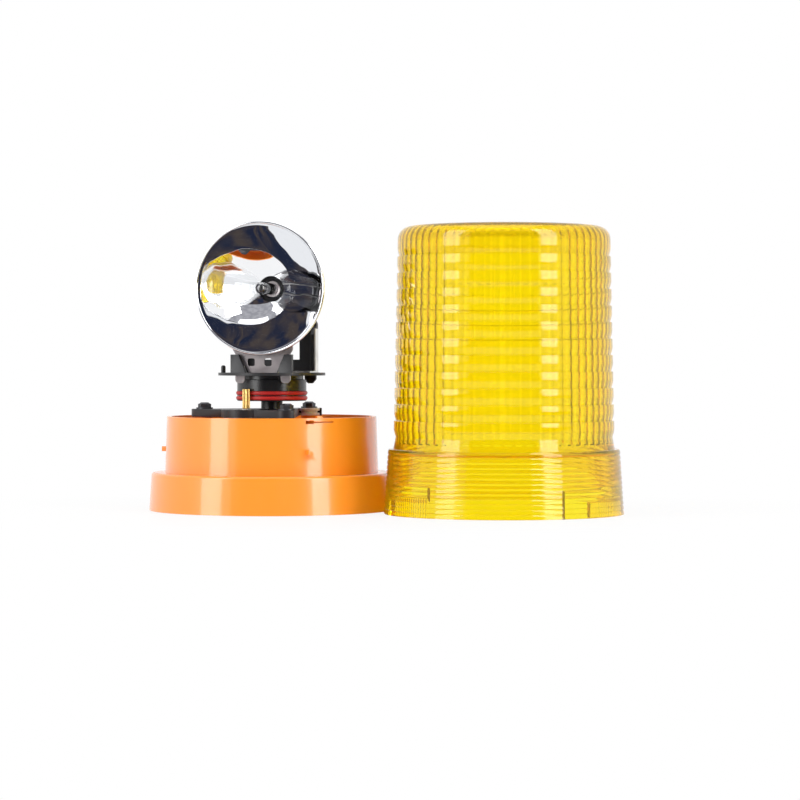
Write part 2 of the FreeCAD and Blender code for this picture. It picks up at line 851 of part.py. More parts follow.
def make_motor():
    """Small permanent-magnet motor hung under the chassis plate."""
    on_motor(turned("motor_can", [
        ("motor_bush_outer", "can_top - can_wall"),
        ("can_bore", "can_top - can_wall"),
        ("can_bore", "can_bottom"),
        ("can_radius", "can_bottom"),
        ("can_radius", "can_top"),
        ("nose_radius", "can_top"),
        ("nose_radius", "can_top + nose_height"),
        ("motor_bush_outer", "can_top + nose_height"),
    ]))
    on_motor(turned("motor_end_cap", sleeve_corners("motor_bush_outer", "can_bore", "can_bottom",
                                                    "can_bottom + end_cap_thickness")))
    make_motor_bushes()
    make_magnets()
    group("motor_screws", [motor_screw(f"motor_screw_{side + 1}", side) for side in (-1, 1)])


def make_motor_bushes():
    """Sintered bronze bushes in the motor's nose and in its end cap."""
    bore = "shaft_radius + shaft_gap"
    bushes = []
    for name, bottom, height in (("upper", "can_top - can_wall", "can_wall + nose_height"),
                                 ("lower", "can_bottom", "end_cap_thickness")):
        solid = cylinder(f"{name}_bush", "motor_bush_outer", bottom, height, "motor_x", "motor_y")
        hole = cylinder(f"{name}_bush_bore", bore, bottom, height, "motor_x", "motor_y")
        bushes.append(cut_away(f"{name}_motor_bush", solid, hole))
    group("motor_bushes", bushes)


def make_magnets():
    """Two arc magnets on the can's inner wall."""
    bottom = "armature_bottom + armature_length / 2 - magnet_length / 2"
    inner = "can_bore - magnet_thickness"
    magnets = []
    for name, turn in (("near", "magnet_span / 2"), ("far", "magnet_span / 2 + 180")):
        sector = primitive("Cylinder", f"{name}_sector", Radius="can_bore", Height="magnet_length",
                           Angle="magnet_span")
        sector.Placement = Placement(Vector(), Rotation(Vector(0, 0, -1), 1.0))
        bind(sector, Placement__Rotation__Angle=turn)
        place(sector, "motor_x", "motor_y", bottom)
        bore = cylinder(f"{name}_magnet_bore", inner, bottom, "magnet_length", "motor_x", "motor_y")
        magnets.append(cut_away(f"{name}_magnet", sector, bore))
    group("motor_magnets", magnets)


def motor_screw(name, side):
    """Return one countersunk motor screw, flush with the plate, beside the nose."""
    x = f"motor_x - {side} * motor_screw_spread * sin(motor_azimuth)"
    y = f"motor_y + {side} * motor_screw_spread * cos(motor_azimuth)"
    rise = "motor_screw_head - motor_screw_radius"
    head = primitive("Cone", f"{name}_head", x, y, f"plate_top - ({rise})", Height=rise,
                     Radius1="motor_screw_radius", Radius2="motor_screw_head")
    shank = cylinder(f"{name}_shank", "motor_screw_radius", "can_top", f"plate_skin - ({rise})", x, y)
    return join(name, head, shank)


def make_terminals():
    """Two-way terminal block on the floor and the grommet where the supply cable enters."""
    x = "terminal_circle_radius * cos(terminal_azimuth)"
    y = "terminal_circle_radius * sin(terminal_azimuth)"
    block = primitive("Box", "terminal_body", f"{x} - terminal_length / 2",
                      f"{y} - terminal_depth / 2", "floor_thickness", Length="terminal_length",
                      Width="terminal_depth", Height="terminal_height")
    step = primitive("Box", "terminal_step_cut", f"{x} - terminal_length / 2",
                     f"{y} - terminal_depth / 2",
                     "floor_thickness + terminal_height - terminal_step",
                     Length="terminal_length", Width="terminal_depth / 2", Height="terminal_step")
    ledge = "floor_thickness + terminal_height - terminal_step"
    sockets = []
    screws = []
    for side in (-1, 1):
        screw_x = f"{x} + {side} * terminal_pitch / 2"
        screw_y = f"{y} - terminal_depth / 4"
        spot = (screw_x, screw_y)
        sockets.append(cylinder(f"terminal_hole_{side + 1}", "terminal_screw_radius",
                                f"{ledge} - terminal_step", "terminal_step", *spot))
        screw = cylinder(f"terminal_screw_{side + 1}", "terminal_screw_radius",
                         f"{ledge} - terminal_step", "terminal_step + terminal_screw_rise", *spot)
        slot = primitive("Box", f"terminal_slot_{side + 1}", f"{screw_x} - terminal_screw_radius",
                         f"{screw_y} - terminal_screw_rise / 3",
                         f"{ledge} + terminal_screw_rise / 3",
                         Length="2 * terminal_screw_radius", Width="terminal_screw_rise * 2 / 3",
                         Height="terminal_screw_rise")
        screws.append(cut_away(f"terminal_clamp_{side + 1}", screw, slot))
    node("terminal_block", cut_away("terminal_block", block, step, *sockets))
    group("terminal_screws", screws)
    grommet = turned("cable_grommet", [
        ("cable_bore", "0"),
        ("cable_grommet_radius", "0"),
        ("cable_grommet_radius", "floor_thickness"),
        ("cable_grommet_flange", "floor_thickness"),
        ("cable_grommet_flange", "floor_thickness + cable_grommet_lip"),
        ("cable_bore", "floor_thickness + cable_grommet_lip"),
    ])
    place(grommet, "cable_circle_radius * cos(cable_azimuth)",
          "cable_circle_radius * sin(cable_azimuth)")


# What turns with the motor's shaft


def make_motor_rotor():
    """Shaft, armature, commutator and the brass friction roller."""
    on_motor(turned("motor_shaft", [
        ("0", "can_bottom + shaft_tail"),
        ("shaft_radius", "can_bottom + shaft_tail"),
        ("shaft_radius", "roller_top"),
        ("0", "roller_top"),
    ]))
    on_motor(turned("friction_roller", sleeve_corners("shaft_radius", "roller_radius",
                                                      "roller_bottom", "roller_top")))
    armature = turned("armature", sleeve_corners("shaft_radius", "armature_radius",
                                                 "armature_bottom",
                                                 "armature_bottom + armature_length"))
    slot = new_sketch(armature, "XY_Plane", "armature_bottom + armature_length")
    draw_box(slot, "armature_core", "armature_radius * 1.2", "-armature_slot / 2", "armature_slot / 2")
    repeat_round(armature, [pocket(armature, slot, "armature_length")], "3")
    on_motor(armature)
    on_motor(turned("commutator", sleeve_corners("shaft_radius", "commutator_radius",
                                                 "armature_bottom - commutator_length",
                                                 "armature_bottom")))


# What turns with the mirror


def make_drum():
    """Drum with two ring grooves, its two bronze bushes and the two silicone drive rings."""
    web_under = "drum_top - drum_web"
    pocket_radius = "clip_radius + clip_land"
    drum = turned("rotor_drum", [
        ("bush_outer", "drum_under"),
        ("drum_hub", "drum_under"),
        ("drum_hub", web_under),
        ("drum_radius - drum_wall", web_under),
        ("drum_radius - drum_wall", "drum_under"),
        ("drum_radius", "drum_under"),
        ("drum_radius", "drum_top"),
        ("neck_radius", "drum_top"),
        ("neck_radius", "disc_under"),
        (pocket_radius, "disc_under"),
        (pocket_radius, "bush_top"),
        ("bush_outer", "bush_top"),
    ])
    heights = {"lower": "drum_under + ring_first", "upper": "drum_under + ring_first + ring_pitch"}
    for name, height in heights.items():
        groove = draw_circle(new_sketch(drum), "ring_centre", height, "ring_section")
        turn_profile(drum, groove, "Groove")
    on_rotor(drum)
    for name, height in heights.items():
        ring = primitive("Torus", f"drive_ring_{name}", z=height, Radius1="ring_centre",
                         Radius2="ring_section")
        node(f"drive_ring_{name}", ring)
    bore = "spindle_radius + bush_gap"
    turned("rotor_bush_lower", sleeve_corners(bore, "bush_outer", "drum_under",
                                              "drum_under + bush_length"))
    turned("rotor_bush_upper", sleeve_corners(bore, "bush_outer", "bush_top - bush_length",
                                              "bush_top"))


def make_disc():
    """Disc on the drum with two front posts, a stop peg and slots for the bracket and holder."""
    body = turned("rotor_disc", [
        ("contact_stem", "disc_under + contact_thickness"),
        ("contact_radius", "disc_under + contact_thickness"),
        ("contact_radius", "disc_under"),
        ("disc_radius", "disc_under"),
        ("disc_radius", "disc_top"),
        ("contact_stem", "disc_top"),
    ])
    post = draw_outline(new_sketch(body, out="bracket_front"), [
        ("bracket_foot_width / 2 + leg_round / 4", "disc_under + disc_thickness / 2"),
        ("post_outer", "disc_under + disc_thickness / 2"),
        ("post_outer", "disc_top + post_height"),
        ("bracket_waist_width / 2 + leg_round / 4", "disc_top + post_height"),
    ])
    mirror_over(body, [pad(body, post, "post_depth")])
    peg_spot = new_sketch(body, "XY_Plane", "disc_under + disc_thickness / 2", "peg_azimuth",
                          Vector(0, 0, 1))
    draw_circle(peg_spot, "disc_radius - peg_inset", "0", "peg_radius")
    pad(body, peg_spot, "peg_height + disc_thickness / 2")
    round_edges(body, "peg_radius * 0.8", circle_test("peg_radius", "disc_top + peg_height"))
    legs = new_sketch(body, "XY_Plane", "disc_top")
    draw_box(legs, "leg_inner - fit_gap", "leg_inner + leg_width + fit_gap",
             "-bracket_front - fit_gap", "-bracket_back + fit_gap")
    snaps = new_sketch(body, "XY_Plane", "disc_top")
    draw_box(snaps, "snap_inner - fit_gap", "snap_outer + fit_gap",
             "snap_front - fit_gap", "snap_front + snap_thickness + fit_gap")
    slots = [pocket(body, sketch, "disc_thickness") for sketch in (legs, snaps)]
    mirror_over(body, slots)
    on_rotor(body)
    contact = turned("centre_contact", [
        ("0", "disc_under"),
        ("contact_radius", "disc_under"),
        ("contact_radius", "disc_under + contact_thickness"),
        ("contact_stem", "disc_under + contact_thickness"),
        ("contact_stem", "disc_top"),
        ("0", "disc_top"),
    ])
    on_rotor(contact)


def make_bracket():
    """Stainless cradle: a waisted front leaf with two windows and two legs through the disc."""
    body = new_body("mirror_bracket")
    notch_rise = ("bracket_waist_rise * (2 * (leg_inner - leg_notch) - bracket_foot_width)"
                  " / (bracket_waist_width - bracket_foot_width)")
    half = [
        ("bracket_foot_width / 2", "disc_top"),
        ("leg_inner - leg_notch", f"disc_top + {notch_rise}"),
        ("leg_inner", f"disc_top + {notch_rise}"),
        ("leg_inner", "disc_top - leg_drop"),
        ("leg_inner + leg_width", "disc_top - leg_drop"),
        ("leg_inner + leg_width", "disc_top + bracket_waist_rise"),
        ("bracket_width / 2", "disc_top + bracket_waist_rise + leg_round"),
        ("bracket_width / 2", "disc_top + bracket_rise"),
    ]
    other = [(f"-({x})", z) for x, z in reversed(half)]
    blank = pad(body, draw_outline(new_sketch(body, out="bracket_back"), half + other), "bracket_sheet")
    rounded = round_edges(body, "leg_round", leg_corner)
    saddle = new_sketch(body, out="bracket_front")
    draw_circle(saddle, "0", "mirror_height", "bracket_arc")
    pocket(body, saddle, "bracket_sheet")
    window = new_sketch(body, out="bracket_front")
    for middle in ("window_shift - window_spread", "window_shift + window_spread"):
        draw_box(window, f"{middle} - window_size / 2", f"{middle} + window_size / 2",
                 "disc_top + window_rise - window_size / 2", "disc_top + window_rise + window_size / 2")
    pocket(body, window, "bracket_sheet")
    round_edges(body, "window_round", window_corner)
    on_rotor(body)


def leg_corner(edge):
    """Pick the edges across the sheet at the ends of the bracket's legs."""
    box = edge.BoundBox
    return box.YLength > value("bracket_sheet") / 2 and box.ZMax < value("disc_under")


def window_corner(edge):
    """Pick the edges across the sheet at the corners of the bracket's windows."""
    box = edge.BoundBox
    across = box.YLength > value("bracket_sheet") / 2 and box.XLength < 1e-6
    height = abs(box.Center.z - value("disc_top + window_rise"))
    inside = abs(box.Center.x) < value("window_spread + window_size")
    return across and inside and height < value("window_size")


def make_mirror():
    """Parabolic mirror open at the neck, with a rolled lip round its mouth."""
    focus = value("mirror_focus")
    neck = value("mirror_neck")
    mouth = value("mirror_radius")
    vertex = value("mirror_setback")
    wall = value("mirror_wall")
    depth = value("mirror_depth")
    steps = 12

    def curve(back, low, high):
        radii = [low + (high - low) * step / steps for step in range(steps + 1)]
        spline = Part.BSplineCurve()
        spline.interpolate([Vector(0, back - r * r / (4 * focus), r) for r in radii])
        return spline.toShape()

    outer_mouth = 2 * (focus * (depth + wall)) ** 0.5
    inner = curve(vertex, neck, mouth)
    outer = curve(vertex + wall, neck, outer_mouth)
    ends = [[edge.valueAt(at) for at in edge.ParameterRange] for edge in (inner, outer)]
    rim = Part.makeLine(ends[0][1], ends[1][1])
    throat = Part.makeLine(ends[0][0], ends[1][0])
    face = Part.Face(Part.Wire(Part.__sortEdges__([inner, rim, outer, throat])))
    shell = face.revolve(Vector(), Vector(0, 1, 0), 360)
    lip = Part.makeTorus((mouth + outer_mouth) / 2, value("mirror_lip"),
                         Vector(0, vertex - depth, 0), Vector(0, 1, 0))
    mirror = DOC.addObject("Part::Feature", "mirror")
    mirror.Shape = shell.fuse(lip)
    node("mirror", mirror)
    on_rotor(mirror, "mirror_height")


def make_lamp_holder():
    """Black upright behind the mirror, with cheeks, a window, a socket seat and two snap feet."""
    body = new_body("lamp_holder")
    back = "-holder_front - holder_wall"
    outline = [
        ("holder_half_width", "disc_top"),
        ("holder_half_width", "disc_top + cheek_height"),
        ("holder_shoulder", "mirror_height"),
    ]
    other = [(f"-{x}", z) for x, z in reversed(outline)]
    pad(body, draw_outline(new_sketch(body, out=back), outline + other), "holder_wall")
    head = draw_circle(new_sketch(body, out=back), "0", "mirror_height", "holder_shoulder")
    pad(body, head, "holder_wall")
    cheek = new_sketch(body, "YZ_Plane", "holder_half_width - cheek_wall")
    draw_outline(cheek, [
        ("holder_front - cheek_depth", "disc_top"),
        ("holder_front + holder_wall / 2", "disc_top"),
        ("holder_front + holder_wall / 2", "disc_top + cheek_height"),
        ("holder_front - cheek_depth", "disc_top + cheek_height - cheek_depth"),
    ])
    foot = draw_outline(new_sketch(body, out="-snap_front - snap_thickness"), [
        ("snap_inner", "disc_top + disc_thickness"),
        ("snap_inner", "disc_under - snap_drop / 2"),
        ("snap_inner + snap_tip", "disc_under - snap_drop"),
        ("snap_outer - snap_tip", "disc_under - snap_drop"),
        ("snap_outer", "disc_under - snap_drop / 2"),
        ("snap_outer", "disc_top + disc_thickness"),
    ])
    mirror_over(body, [pad(body, cheek, "cheek_wall"), pad(body, foot, "snap_thickness")])
    window = draw_box(new_sketch(body, out="-holder_front"), "-holder_window_width / 2",
                      "holder_window_width / 2", "disc_top + holder_window_rise",
                      "disc_top + holder_window_rise + holder_window_height")
    pocket(body, window, "holder_wall")
    seat = draw_circle(new_sketch(body, out="-holder_front"), "0", "mirror_height", "socket_radius")
    pocket(body, seat, "holder_wall")
    on_rotor(body)


def make_lamp():
    """Halogen lamp on the mirror's axis: socket, flange with barrel, glass, filament and blade."""
    turned_on_beam("lamp_socket", [
        ("socket_front", "socket_bore"),
        ("lamp_seat", "socket_bore"),
        ("lamp_seat", "socket_radius - socket_wall"),
        ("holder_front + holder_wall", "socket_radius - socket_wall"),
        ("holder_front + holder_wall", "socket_radius"),
        ("socket_front", "socket_radius"),
    ])
    barrel_front = "lamp_seat - barrel_length"
    turned_on_beam("lamp_base", [
        (barrel_front, "glass_radius"),
        (barrel_front, "barrel_radius"),
        ("lamp_seat", "barrel_radius"),
        ("lamp_seat", "flange_radius"),
        ("lamp_seat + flange_thickness", "flange_radius"),
        ("lamp_seat + flange_thickness", "0"),
        ("lamp_seat", "0"),
        ("lamp_seat", "glass_radius"),
    ])
    bulb = "glass_radius - glass_wall"
    turned_on_beam("lamp_glass", [
        ("lamp_seat", "0"),
        ("lamp_seat", "glass_radius"),
        ("glass_tip + glass_radius", "glass_radius"),
        ("glass_tip + glass_radius / 4", "glass_radius * 0.7"),
        ("glass_tip", "glass_wall"),
        ("glass_tip", "0"),
        ("glass_tip + glass_wall", "0"),
        ("glass_tip + glass_radius / 2", f"({bulb}) * 0.7"),
        ("glass_tip + glass_radius", bulb),
        (barrel_front, bulb),
        (barrel_front, "0"),
    ])
    turned_on_beam("lamp_filament", [
        ("filament_y - filament_length / 2", "0"),
        ("filament_y - filament_length / 2", "filament_radius"),
        ("filament_y + filament_length / 2", "filament_radius"),
        ("filament_y + filament_length / 2", "filament_radius / 2"),
        (barrel_front, "filament_radius / 2"),
        (barrel_front, "0"),
    ])
    blade = new_body("lamp_blade")
    sketch = draw_box(new_sketch(blade, out="-lamp_seat - flange_thickness"),
                      "-blade_width / 2", "blade_width / 2", "-blade_thickness / 2",
                      "blade_thickness / 2")
    pad(blade, sketch, "blade_length").Reversed = True
    on_rotor(blade, "mirror_height")


def make_contact_strip():
    """Plated strip from the centre contact across the disc and up the side of the holder."""
    body = new_body("contact_strip")
    back = "strip_front + strip_width"
    inner = "strip_outer - strip_width"
    step = "strip_front - fit_gap"
    foot = draw_outline(new_sketch(body, "XY_Plane", "disc_top"), [
        ("-strip_foot", "-strip_foot"),
        ("strip_outer", "-strip_foot"),
        ("strip_outer", back),
        ("strip_inner", back),
        ("strip_inner", step),
        (inner, step),
        (inner, "strip_foot"),
        ("-strip_foot", "strip_foot"),
    ])
    pad(body, foot, "strip_sheet")
    upright = draw_box(new_sketch(body, "XY_Plane", "disc_top"), "strip_inner", "strip_outer",
                       "strip_front", back)
    pad(body, upright, "strip_rise")
    on_rotor(body)


# The lens


def lens_outer():
    """Return the lens's outer profile from the foot of the collar to the crown."""
    corners = []
    pitch = "collar_height / tooth_count"
    for tooth in range(int(value("tooth_count"))):
        for step, depth in ((tooth, "0"), (tooth + 1, "tooth_depth")):
            height = f"{step} * {pitch}"
            radius = f"collar_radius - collar_taper * {step} / tooth_count - {depth}"
            corners.append((radius, height))
    corners.append(("lens_radius", "collar_height"))
    for band in range(int(value("band_count"))):
        low = f"band_bottom + {band} * band_pitch"
        for height, depth in ((low, "band_depth"), (f"{low} + band_ramp", "0"),
                              (f"{low} + band_pitch", "0")):
            radius = f"lens_radius - lens_slope * ({height} - collar_height) - {depth}"
            corners.append((radius, height))
    corners.append(("lens_radius - lens_taper", "lens_height - lens_crown"))
    corners.append(("0", "lens_height"))
    return corners


def make_lens():
    """Amber lens: toothed collar with bayonet tracks, stepped bands outside and flutes inside."""
    body = new_body("lens")
    corners = lens_outer()
    corners[0] = ("collar_radius", "0")
    inner = [
        ("0", "roof_under"),
        ("lens_bore - lens_taper", "roof_under"),
        ("lens_bore", "shelf_height"),
        ("collar_bore", "shelf_height"),
        ("collar_bore", "0"),
    ]
    turn_profile(body, draw_outline(new_sketch(body), inner[::-1][:1] + corners + inner[:-1]))
    round_edges(body, "lens_shoulder", circle_test("lens_radius - lens_taper",
                                                   "lens_height - lens_crown"))
    round_edges(body, "inner_shoulder", circle_test("lens_bore - lens_taper", "roof_under"))
    cut_tracks(body)
    cut_flutes(body)
    x = "bench_distance * cos(stand_azimuth)"
    y = "bench_distance * sin(stand_azimuth)"
    place(body, x, y, "0", "lens_turn")
    seal = turned("lens_seal", sleeve_corners("lens_bore", "lens_bore + seal_width",
                                              "shelf_height - seal_thickness", "shelf_height"))
    place(seal, x, y)


def cut_tracks(body):
    """Cut the bayonet tracks: an open mouth, a low run and a raised seat for each lug."""
    depth = "lug_radius + track_clearance"
    inner = "collar_bore - tube_wall"
    runs = [
        ("track_start", "track_mouth_span", "-track_low", "track_low + lug_height"),
        ("track_start", "track_ramp_span", "track_low", "track_high"),
        ("track_start + track_ramp_span", "track_span - track_ramp_span",
         "track_low + track_lift", "track_high + track_lift"),
    ]
    grooves = []
    for start, span, low, high in runs:
        sketch = new_sketch(body, turn=f"{start} + ({span}) / 2")
        draw_box(sketch, inner, depth, low, high)
        groove = turn_profile(body, sketch, "Groove", angle=span)
        groove.Midplane = True
        grooves.append(groove)
    repeat_round(body, grooves, "lug_count")


def cut_flutes(body):
    """Cut the upright flutes round the inside of the lens."""
    flute = body.newObject("PartDesign::SubtractiveCylinder", "flute")
    flute.AttachmentSupport = [(datum(body, "XY_Plane"), "")]
    flute.MapMode = "FlatFace"
    flute.AttachmentOffset = Placement(Vector(), Rotation(Vector(0, -1, 0), 1.0))
    bottom = "collar_height + flute_start"
    flute.setExpression("AttachmentOffset.Rotation.Angle", formula("atan(lens_slope)"))
    inset = "lens_bore - lens_slope * flute_start + flute_depth - flute_radius"
    flute.setExpression("AttachmentOffset.Base.x", formula(inset))
    flute.setExpression("AttachmentOffset.Base.z", formula(bottom))
    top = "roof_under - inner_shoulder - flute_depth"
    bind(flute, Radius="flute_radius", Height=f"{top} - ({bottom})")
    repeat_round(body, [flute], "flute_count")


def check_model():
    """Stop if any object of the document failed or any piece is not a sound solid."""
    for item in DOC.Objects:
        if "Invalid" in item.State or "Error" in item.State:
            raise RuntimeError(f"{item.Label} did not recompute: {item.State}")
    for piece in NODES:
        shape = piece.Shape
        if shape.isNull() or not shape.isValid() or not shape.Solids:
            raise RuntimeError(f"{piece.Label} is not a sound solid")


def write_pieces():
    """Write each piece to its own STEP file and print its size."""
    os.makedirs("parts", exist_ok=True)
    for piece in NODES:
        box = piece.Shape.BoundBox
        print(f"{piece.Label:18s} solids {len(piece.Shape.Solids)} volume {piece.Shape.Volume:10.1f} "
              f"x {box.XMin:7.1f}..{box.XMax:7.1f} y {box.YMin:7.1f}..{box.YMax:7.1f} "
              f"z {box.ZMin:6.1f}..{box.ZMax:6.1f}")
        piece.Shape.exportStep(f"parts/{piece.Label}.step")


def main():
    """Build the whole beacon."""
    fill_sheet()
    make_base_housing()
    make_mounting_gasket()
    make_chassis_plate()
    make_chassis_grommet()
    make_chassis_screws()
    make_spindle()
    make_motor()
    make_terminals()
    make_motor_rotor()
    make_drum()
    make_disc()
    make_bracket()
    make_mirror()
    make_lamp_holder()
    make_lamp()
    make_contact_strip()
    make_lens()
    DOC.recompute()
    check_model()
    write_pieces()


main()
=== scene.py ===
"""Rotating beacon, dressed for rendering.

The orange base with its friction-driven mirror stands on the left, and the ribbed amber lens stands
beside it on the right.  Each sub-assembly is a class that holds its sizes and dresses its pieces.
Lengths are in metres and angles in degrees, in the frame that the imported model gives.
"""

import json
import logging
import math
from dataclasses import dataclass
from enum import Enum
from functools import partial
from typing import Callable, Protocol, Sequence

import bmesh
import bpy
from bpy.types import ColorRamp, Material, Mesh, NodeSocket, Object, World
from mathutils import Matrix, Vector

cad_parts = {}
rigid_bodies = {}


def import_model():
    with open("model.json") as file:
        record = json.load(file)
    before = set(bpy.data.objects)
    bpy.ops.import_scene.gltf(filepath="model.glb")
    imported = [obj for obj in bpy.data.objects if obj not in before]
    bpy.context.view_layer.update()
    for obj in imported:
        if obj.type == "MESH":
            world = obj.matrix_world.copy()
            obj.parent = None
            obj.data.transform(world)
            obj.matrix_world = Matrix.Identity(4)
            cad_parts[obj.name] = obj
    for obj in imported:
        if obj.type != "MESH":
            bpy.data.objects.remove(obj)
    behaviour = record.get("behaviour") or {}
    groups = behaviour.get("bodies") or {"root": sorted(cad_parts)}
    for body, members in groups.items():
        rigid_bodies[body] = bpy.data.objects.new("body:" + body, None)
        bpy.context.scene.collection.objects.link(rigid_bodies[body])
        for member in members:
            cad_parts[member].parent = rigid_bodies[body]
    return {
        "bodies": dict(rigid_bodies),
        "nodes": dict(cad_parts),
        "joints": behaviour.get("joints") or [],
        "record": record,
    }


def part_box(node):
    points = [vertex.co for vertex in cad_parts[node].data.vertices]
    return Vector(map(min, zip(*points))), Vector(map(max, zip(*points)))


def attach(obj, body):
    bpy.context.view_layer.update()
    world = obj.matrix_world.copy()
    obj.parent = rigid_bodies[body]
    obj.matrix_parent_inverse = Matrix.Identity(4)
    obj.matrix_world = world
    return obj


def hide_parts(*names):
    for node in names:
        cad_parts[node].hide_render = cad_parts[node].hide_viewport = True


LOG = logging.getLogger("beacon")

# An edge steeper than this many degrees stays sharp, and a turned piece or a wire has its own.
CREASE = 32.0
TURNED_CREASE = 40.0
WIRE_CREASE = 50.0
# Corners closer than this are one corner, in a mesh made here and in a packed one.
WELD = 1e-7
PACKED_WELD = 2e-6
# Packed faces that turn by less than this many degrees are one flat face.
FLAT = 0.4
# A profile ends this far from the axis that it is turned about.
AXIS_RADIUS = 1e-6
# The Mix node's colour sockets and its colour output.
MIX_FACTOR, MIX_UNDER, MIX_OVER, MIX_RESULT = 0, 6, 7, 2

Colour = tuple[float, float, float]
Point = tuple[float, float, float]
Station = tuple[float, float]
Ring = Callable[[float], Station]

WHITE: Colour = (1.0, 1.0, 1.0)
EVEN: Point = (1.0, 1.0, 1.0)


class Body(Enum):
    """The bodies that pieces ride on."""

    BASE = "base"
    MOTOR = "motor_rotor"
    MIRROR = "mirror_rotor"
    LENS = "lens_cover"


# Shader maths


class Signal:
    """A node's output that takes part in arithmetic."""

    def __init__(self, graph: "Graph", socket: NodeSocket) -> None:
        """Keep the output and the graph that it belongs to."""
        self.graph = graph
        self.socket = socket

    def math(self, operation: str, *terms: "Term") -> "Signal":
        """Add a Math node.

        Args:
            operation: The Math node's operation.
            terms: Its inputs, in order.

        Returns:
            The node's result.
        """
        return self.graph.node("ShaderNodeMath", {"operation": operation}, dict(enumerate(terms)))

    def __add__(self, other: "Term") -> "Signal":
        """Add another term."""
        return self.math("ADD", self, other)

    __radd__ = __add__

    def __sub__(self, other: "Term") -> "Signal":
        """Take another term away."""
        return self.math("SUBTRACT", self, other)

    def __rsub__(self, other: "Term") -> "Signal":
        """Take this signal away from another term."""
        return self.math("SUBTRACT", other, self)

    def __mul__(self, other: "Term") -> "Signal":
        """Multiply by another term."""
        return self.math("MULTIPLY", self, other)

    __rmul__ = __mul__

    def __or__(self, other: "Term") -> "Signal":
        """Give the greater of two masks."""
        return self.math("MAXIMUM", self, other)


Term = Signal | float
Tint = Signal | Colour
Setting = Signal | float | tuple[float, ...] | str | list


class Graph:
    """A material's or the world's nodes, started afresh."""

    def __init__(self, owner: Material | World) -> None:
        """Clear the owner's node tree."""
        owner.use_nodes = True
        self.tree = owner.node_tree
        self.tree.nodes.clear()

    def node(
        self,
        kind: str,
        settings: dict[str, Setting] | None = None,
        sockets: dict[int | str, Setting] | None = None,
        output: int | str = 0,
    ) -> Signal:
        """Add a node.

        Args:
            kind: The node's type.
            settings: The node's own settings, with a ramp's stops under "stops".
            sockets: The value or the signal of each input, by its name or number.
            output: The output that is wanted.

        Returns:
            That output.
        """
        node = self.tree.nodes.new(kind)
        for name, setting in (settings or {}).items():
            if name == "stops":
                self._set_stops(node.color_ramp, setting)
            else:
                setattr(node, name, setting)
        for name, value in (sockets or {}).items():
            if isinstance(value, Signal):
                self.tree.links.new(value.socket, node.inputs[name])
            elif isinstance(value, tuple) and len(value) == 3 and node.inputs[name].type == "RGBA":
                node.inputs[name].default_value = (*value, 1.0)
            else:
                node.inputs[name].default_value = value
        return Signal(self, node.outputs[output])

    @staticmethod
    def _set_stops(ramp: ColorRamp, stops: list[tuple[float, float]]) -> None:
        """Set a ramp's stops.

        Args:
            ramp: The ramp.
            stops: Pairs of place and brightness.
        """
        while len(ramp.elements) < len(stops):
            ramp.elements.new(1.0)
        for element, (place, brightness) in zip(ramp.elements, stops):
            element.position = place
            element.color = (brightness, brightness, brightness, 1.0)

    def place(self, stretch: Point = EVEN) -> Signal:
        """Give the place on the piece, stretched along the three axes."""
        sockets = {"Vector": self.node("ShaderNodeTexCoord", output="Object"), "Scale": stretch}
        return self.node("ShaderNodeMapping", {"vector_type": "POINT"}, sockets)

    def noise(self, scale: float, detail: float = 3.0, stretch: Point = EVEN) -> Signal:
        """Give a cloudy value between 0 and 1.

        Args:
            scale: Clouds per metre.
            detail: Octaves of finer clouds.
            stretch: How much the clouds are squeezed along each axis.

        Returns:
            The clouds' value.
        """
        sockets = {"Vector": self.place(stretch), "Scale": scale, "Detail": detail}
        return self.node("ShaderNodeTexNoise", sockets=sockets)

    def ramp(self, signal: Signal, *stops: tuple[float, float]) -> Signal:
        """Remap a signal through a ramp of greys."""
        return self.node("ShaderNodeValToRGB", {"stops": list(stops)}, {0: signal})

    def mask(self, signal: Signal, edge: tuple[float, float]) -> Signal:
        """Turn a signal into a mask that rises from 0 to 1 between two values."""
        return self.ramp(signal, (edge[0], 0.0), (edge[1], 1.0))

    def blend(self, mask: Term, under: Tint, over: Tint) -> Signal:
        """Mix two colours by a mask."""
        sockets = {MIX_FACTOR: mask, MIX_UNDER: under, MIX_OVER: over}
        return self.node("ShaderNodeMix", {"data_type": "RGBA"}, sockets, MIX_RESULT)

    def bump(self, height: Signal, distance: float, strength: float = 1.0) -> Signal:
        """Turn a height into a normal."""
        sockets = {"Height": height, "Distance": distance, "Strength": strength}
        return self.node("ShaderNodeBump", sockets=sockets)

    def principled(self, skin: dict[str, Setting]) -> Signal:
        """Add the shader that every skin of a piece has."""
        return self.node("ShaderNodeBsdfPrincipled", sockets=skin)

    def emission(self, colour: Tint) -> Signal:
        """Add a plain glow at full strength."""
        return self.node("ShaderNodeEmission", sockets={"Color": colour, "Strength": 1.0})

    def surface(self, shader: Signal, inside: Signal | None = None) -> None:
        """Make a shader the surface's own, with another for what is inside."""
        ends = {"Surface": shader} if inside is None else {"Surface": shader, "Volume": inside}
        self.node_end("ShaderNodeOutputMaterial", ends)

    def node_end(self, kind: str, ends: dict[str, Signal]) -> None:
        """Link shaders to an output node.

        Args:
            kind: The output node's type.
            ends: The shader of each of its sockets, by the socket's name.
        """
        end = self.tree.nodes.new(kind)
        for name, shader in ends.items():
            self.tree.links.new(shader.socket, end.inputs[name])


class Finish(Protocol):
    """What a piece can be finished in."""

    name: str

    def material(self) -> Material:
        """Return the finish's material."""


def shade(colour: Colour, amount: float) -> Colour:
    """Return a colour made lighter or darker by a factor."""
    return tuple(min(1.0, channel * amount) for channel in colour)


def fresh_material(name: str) -> tuple[Material, Graph]:
    """Return a new material and its empty graph."""
    material = bpy.data.materials.new(name)
    return material, Graph(material)


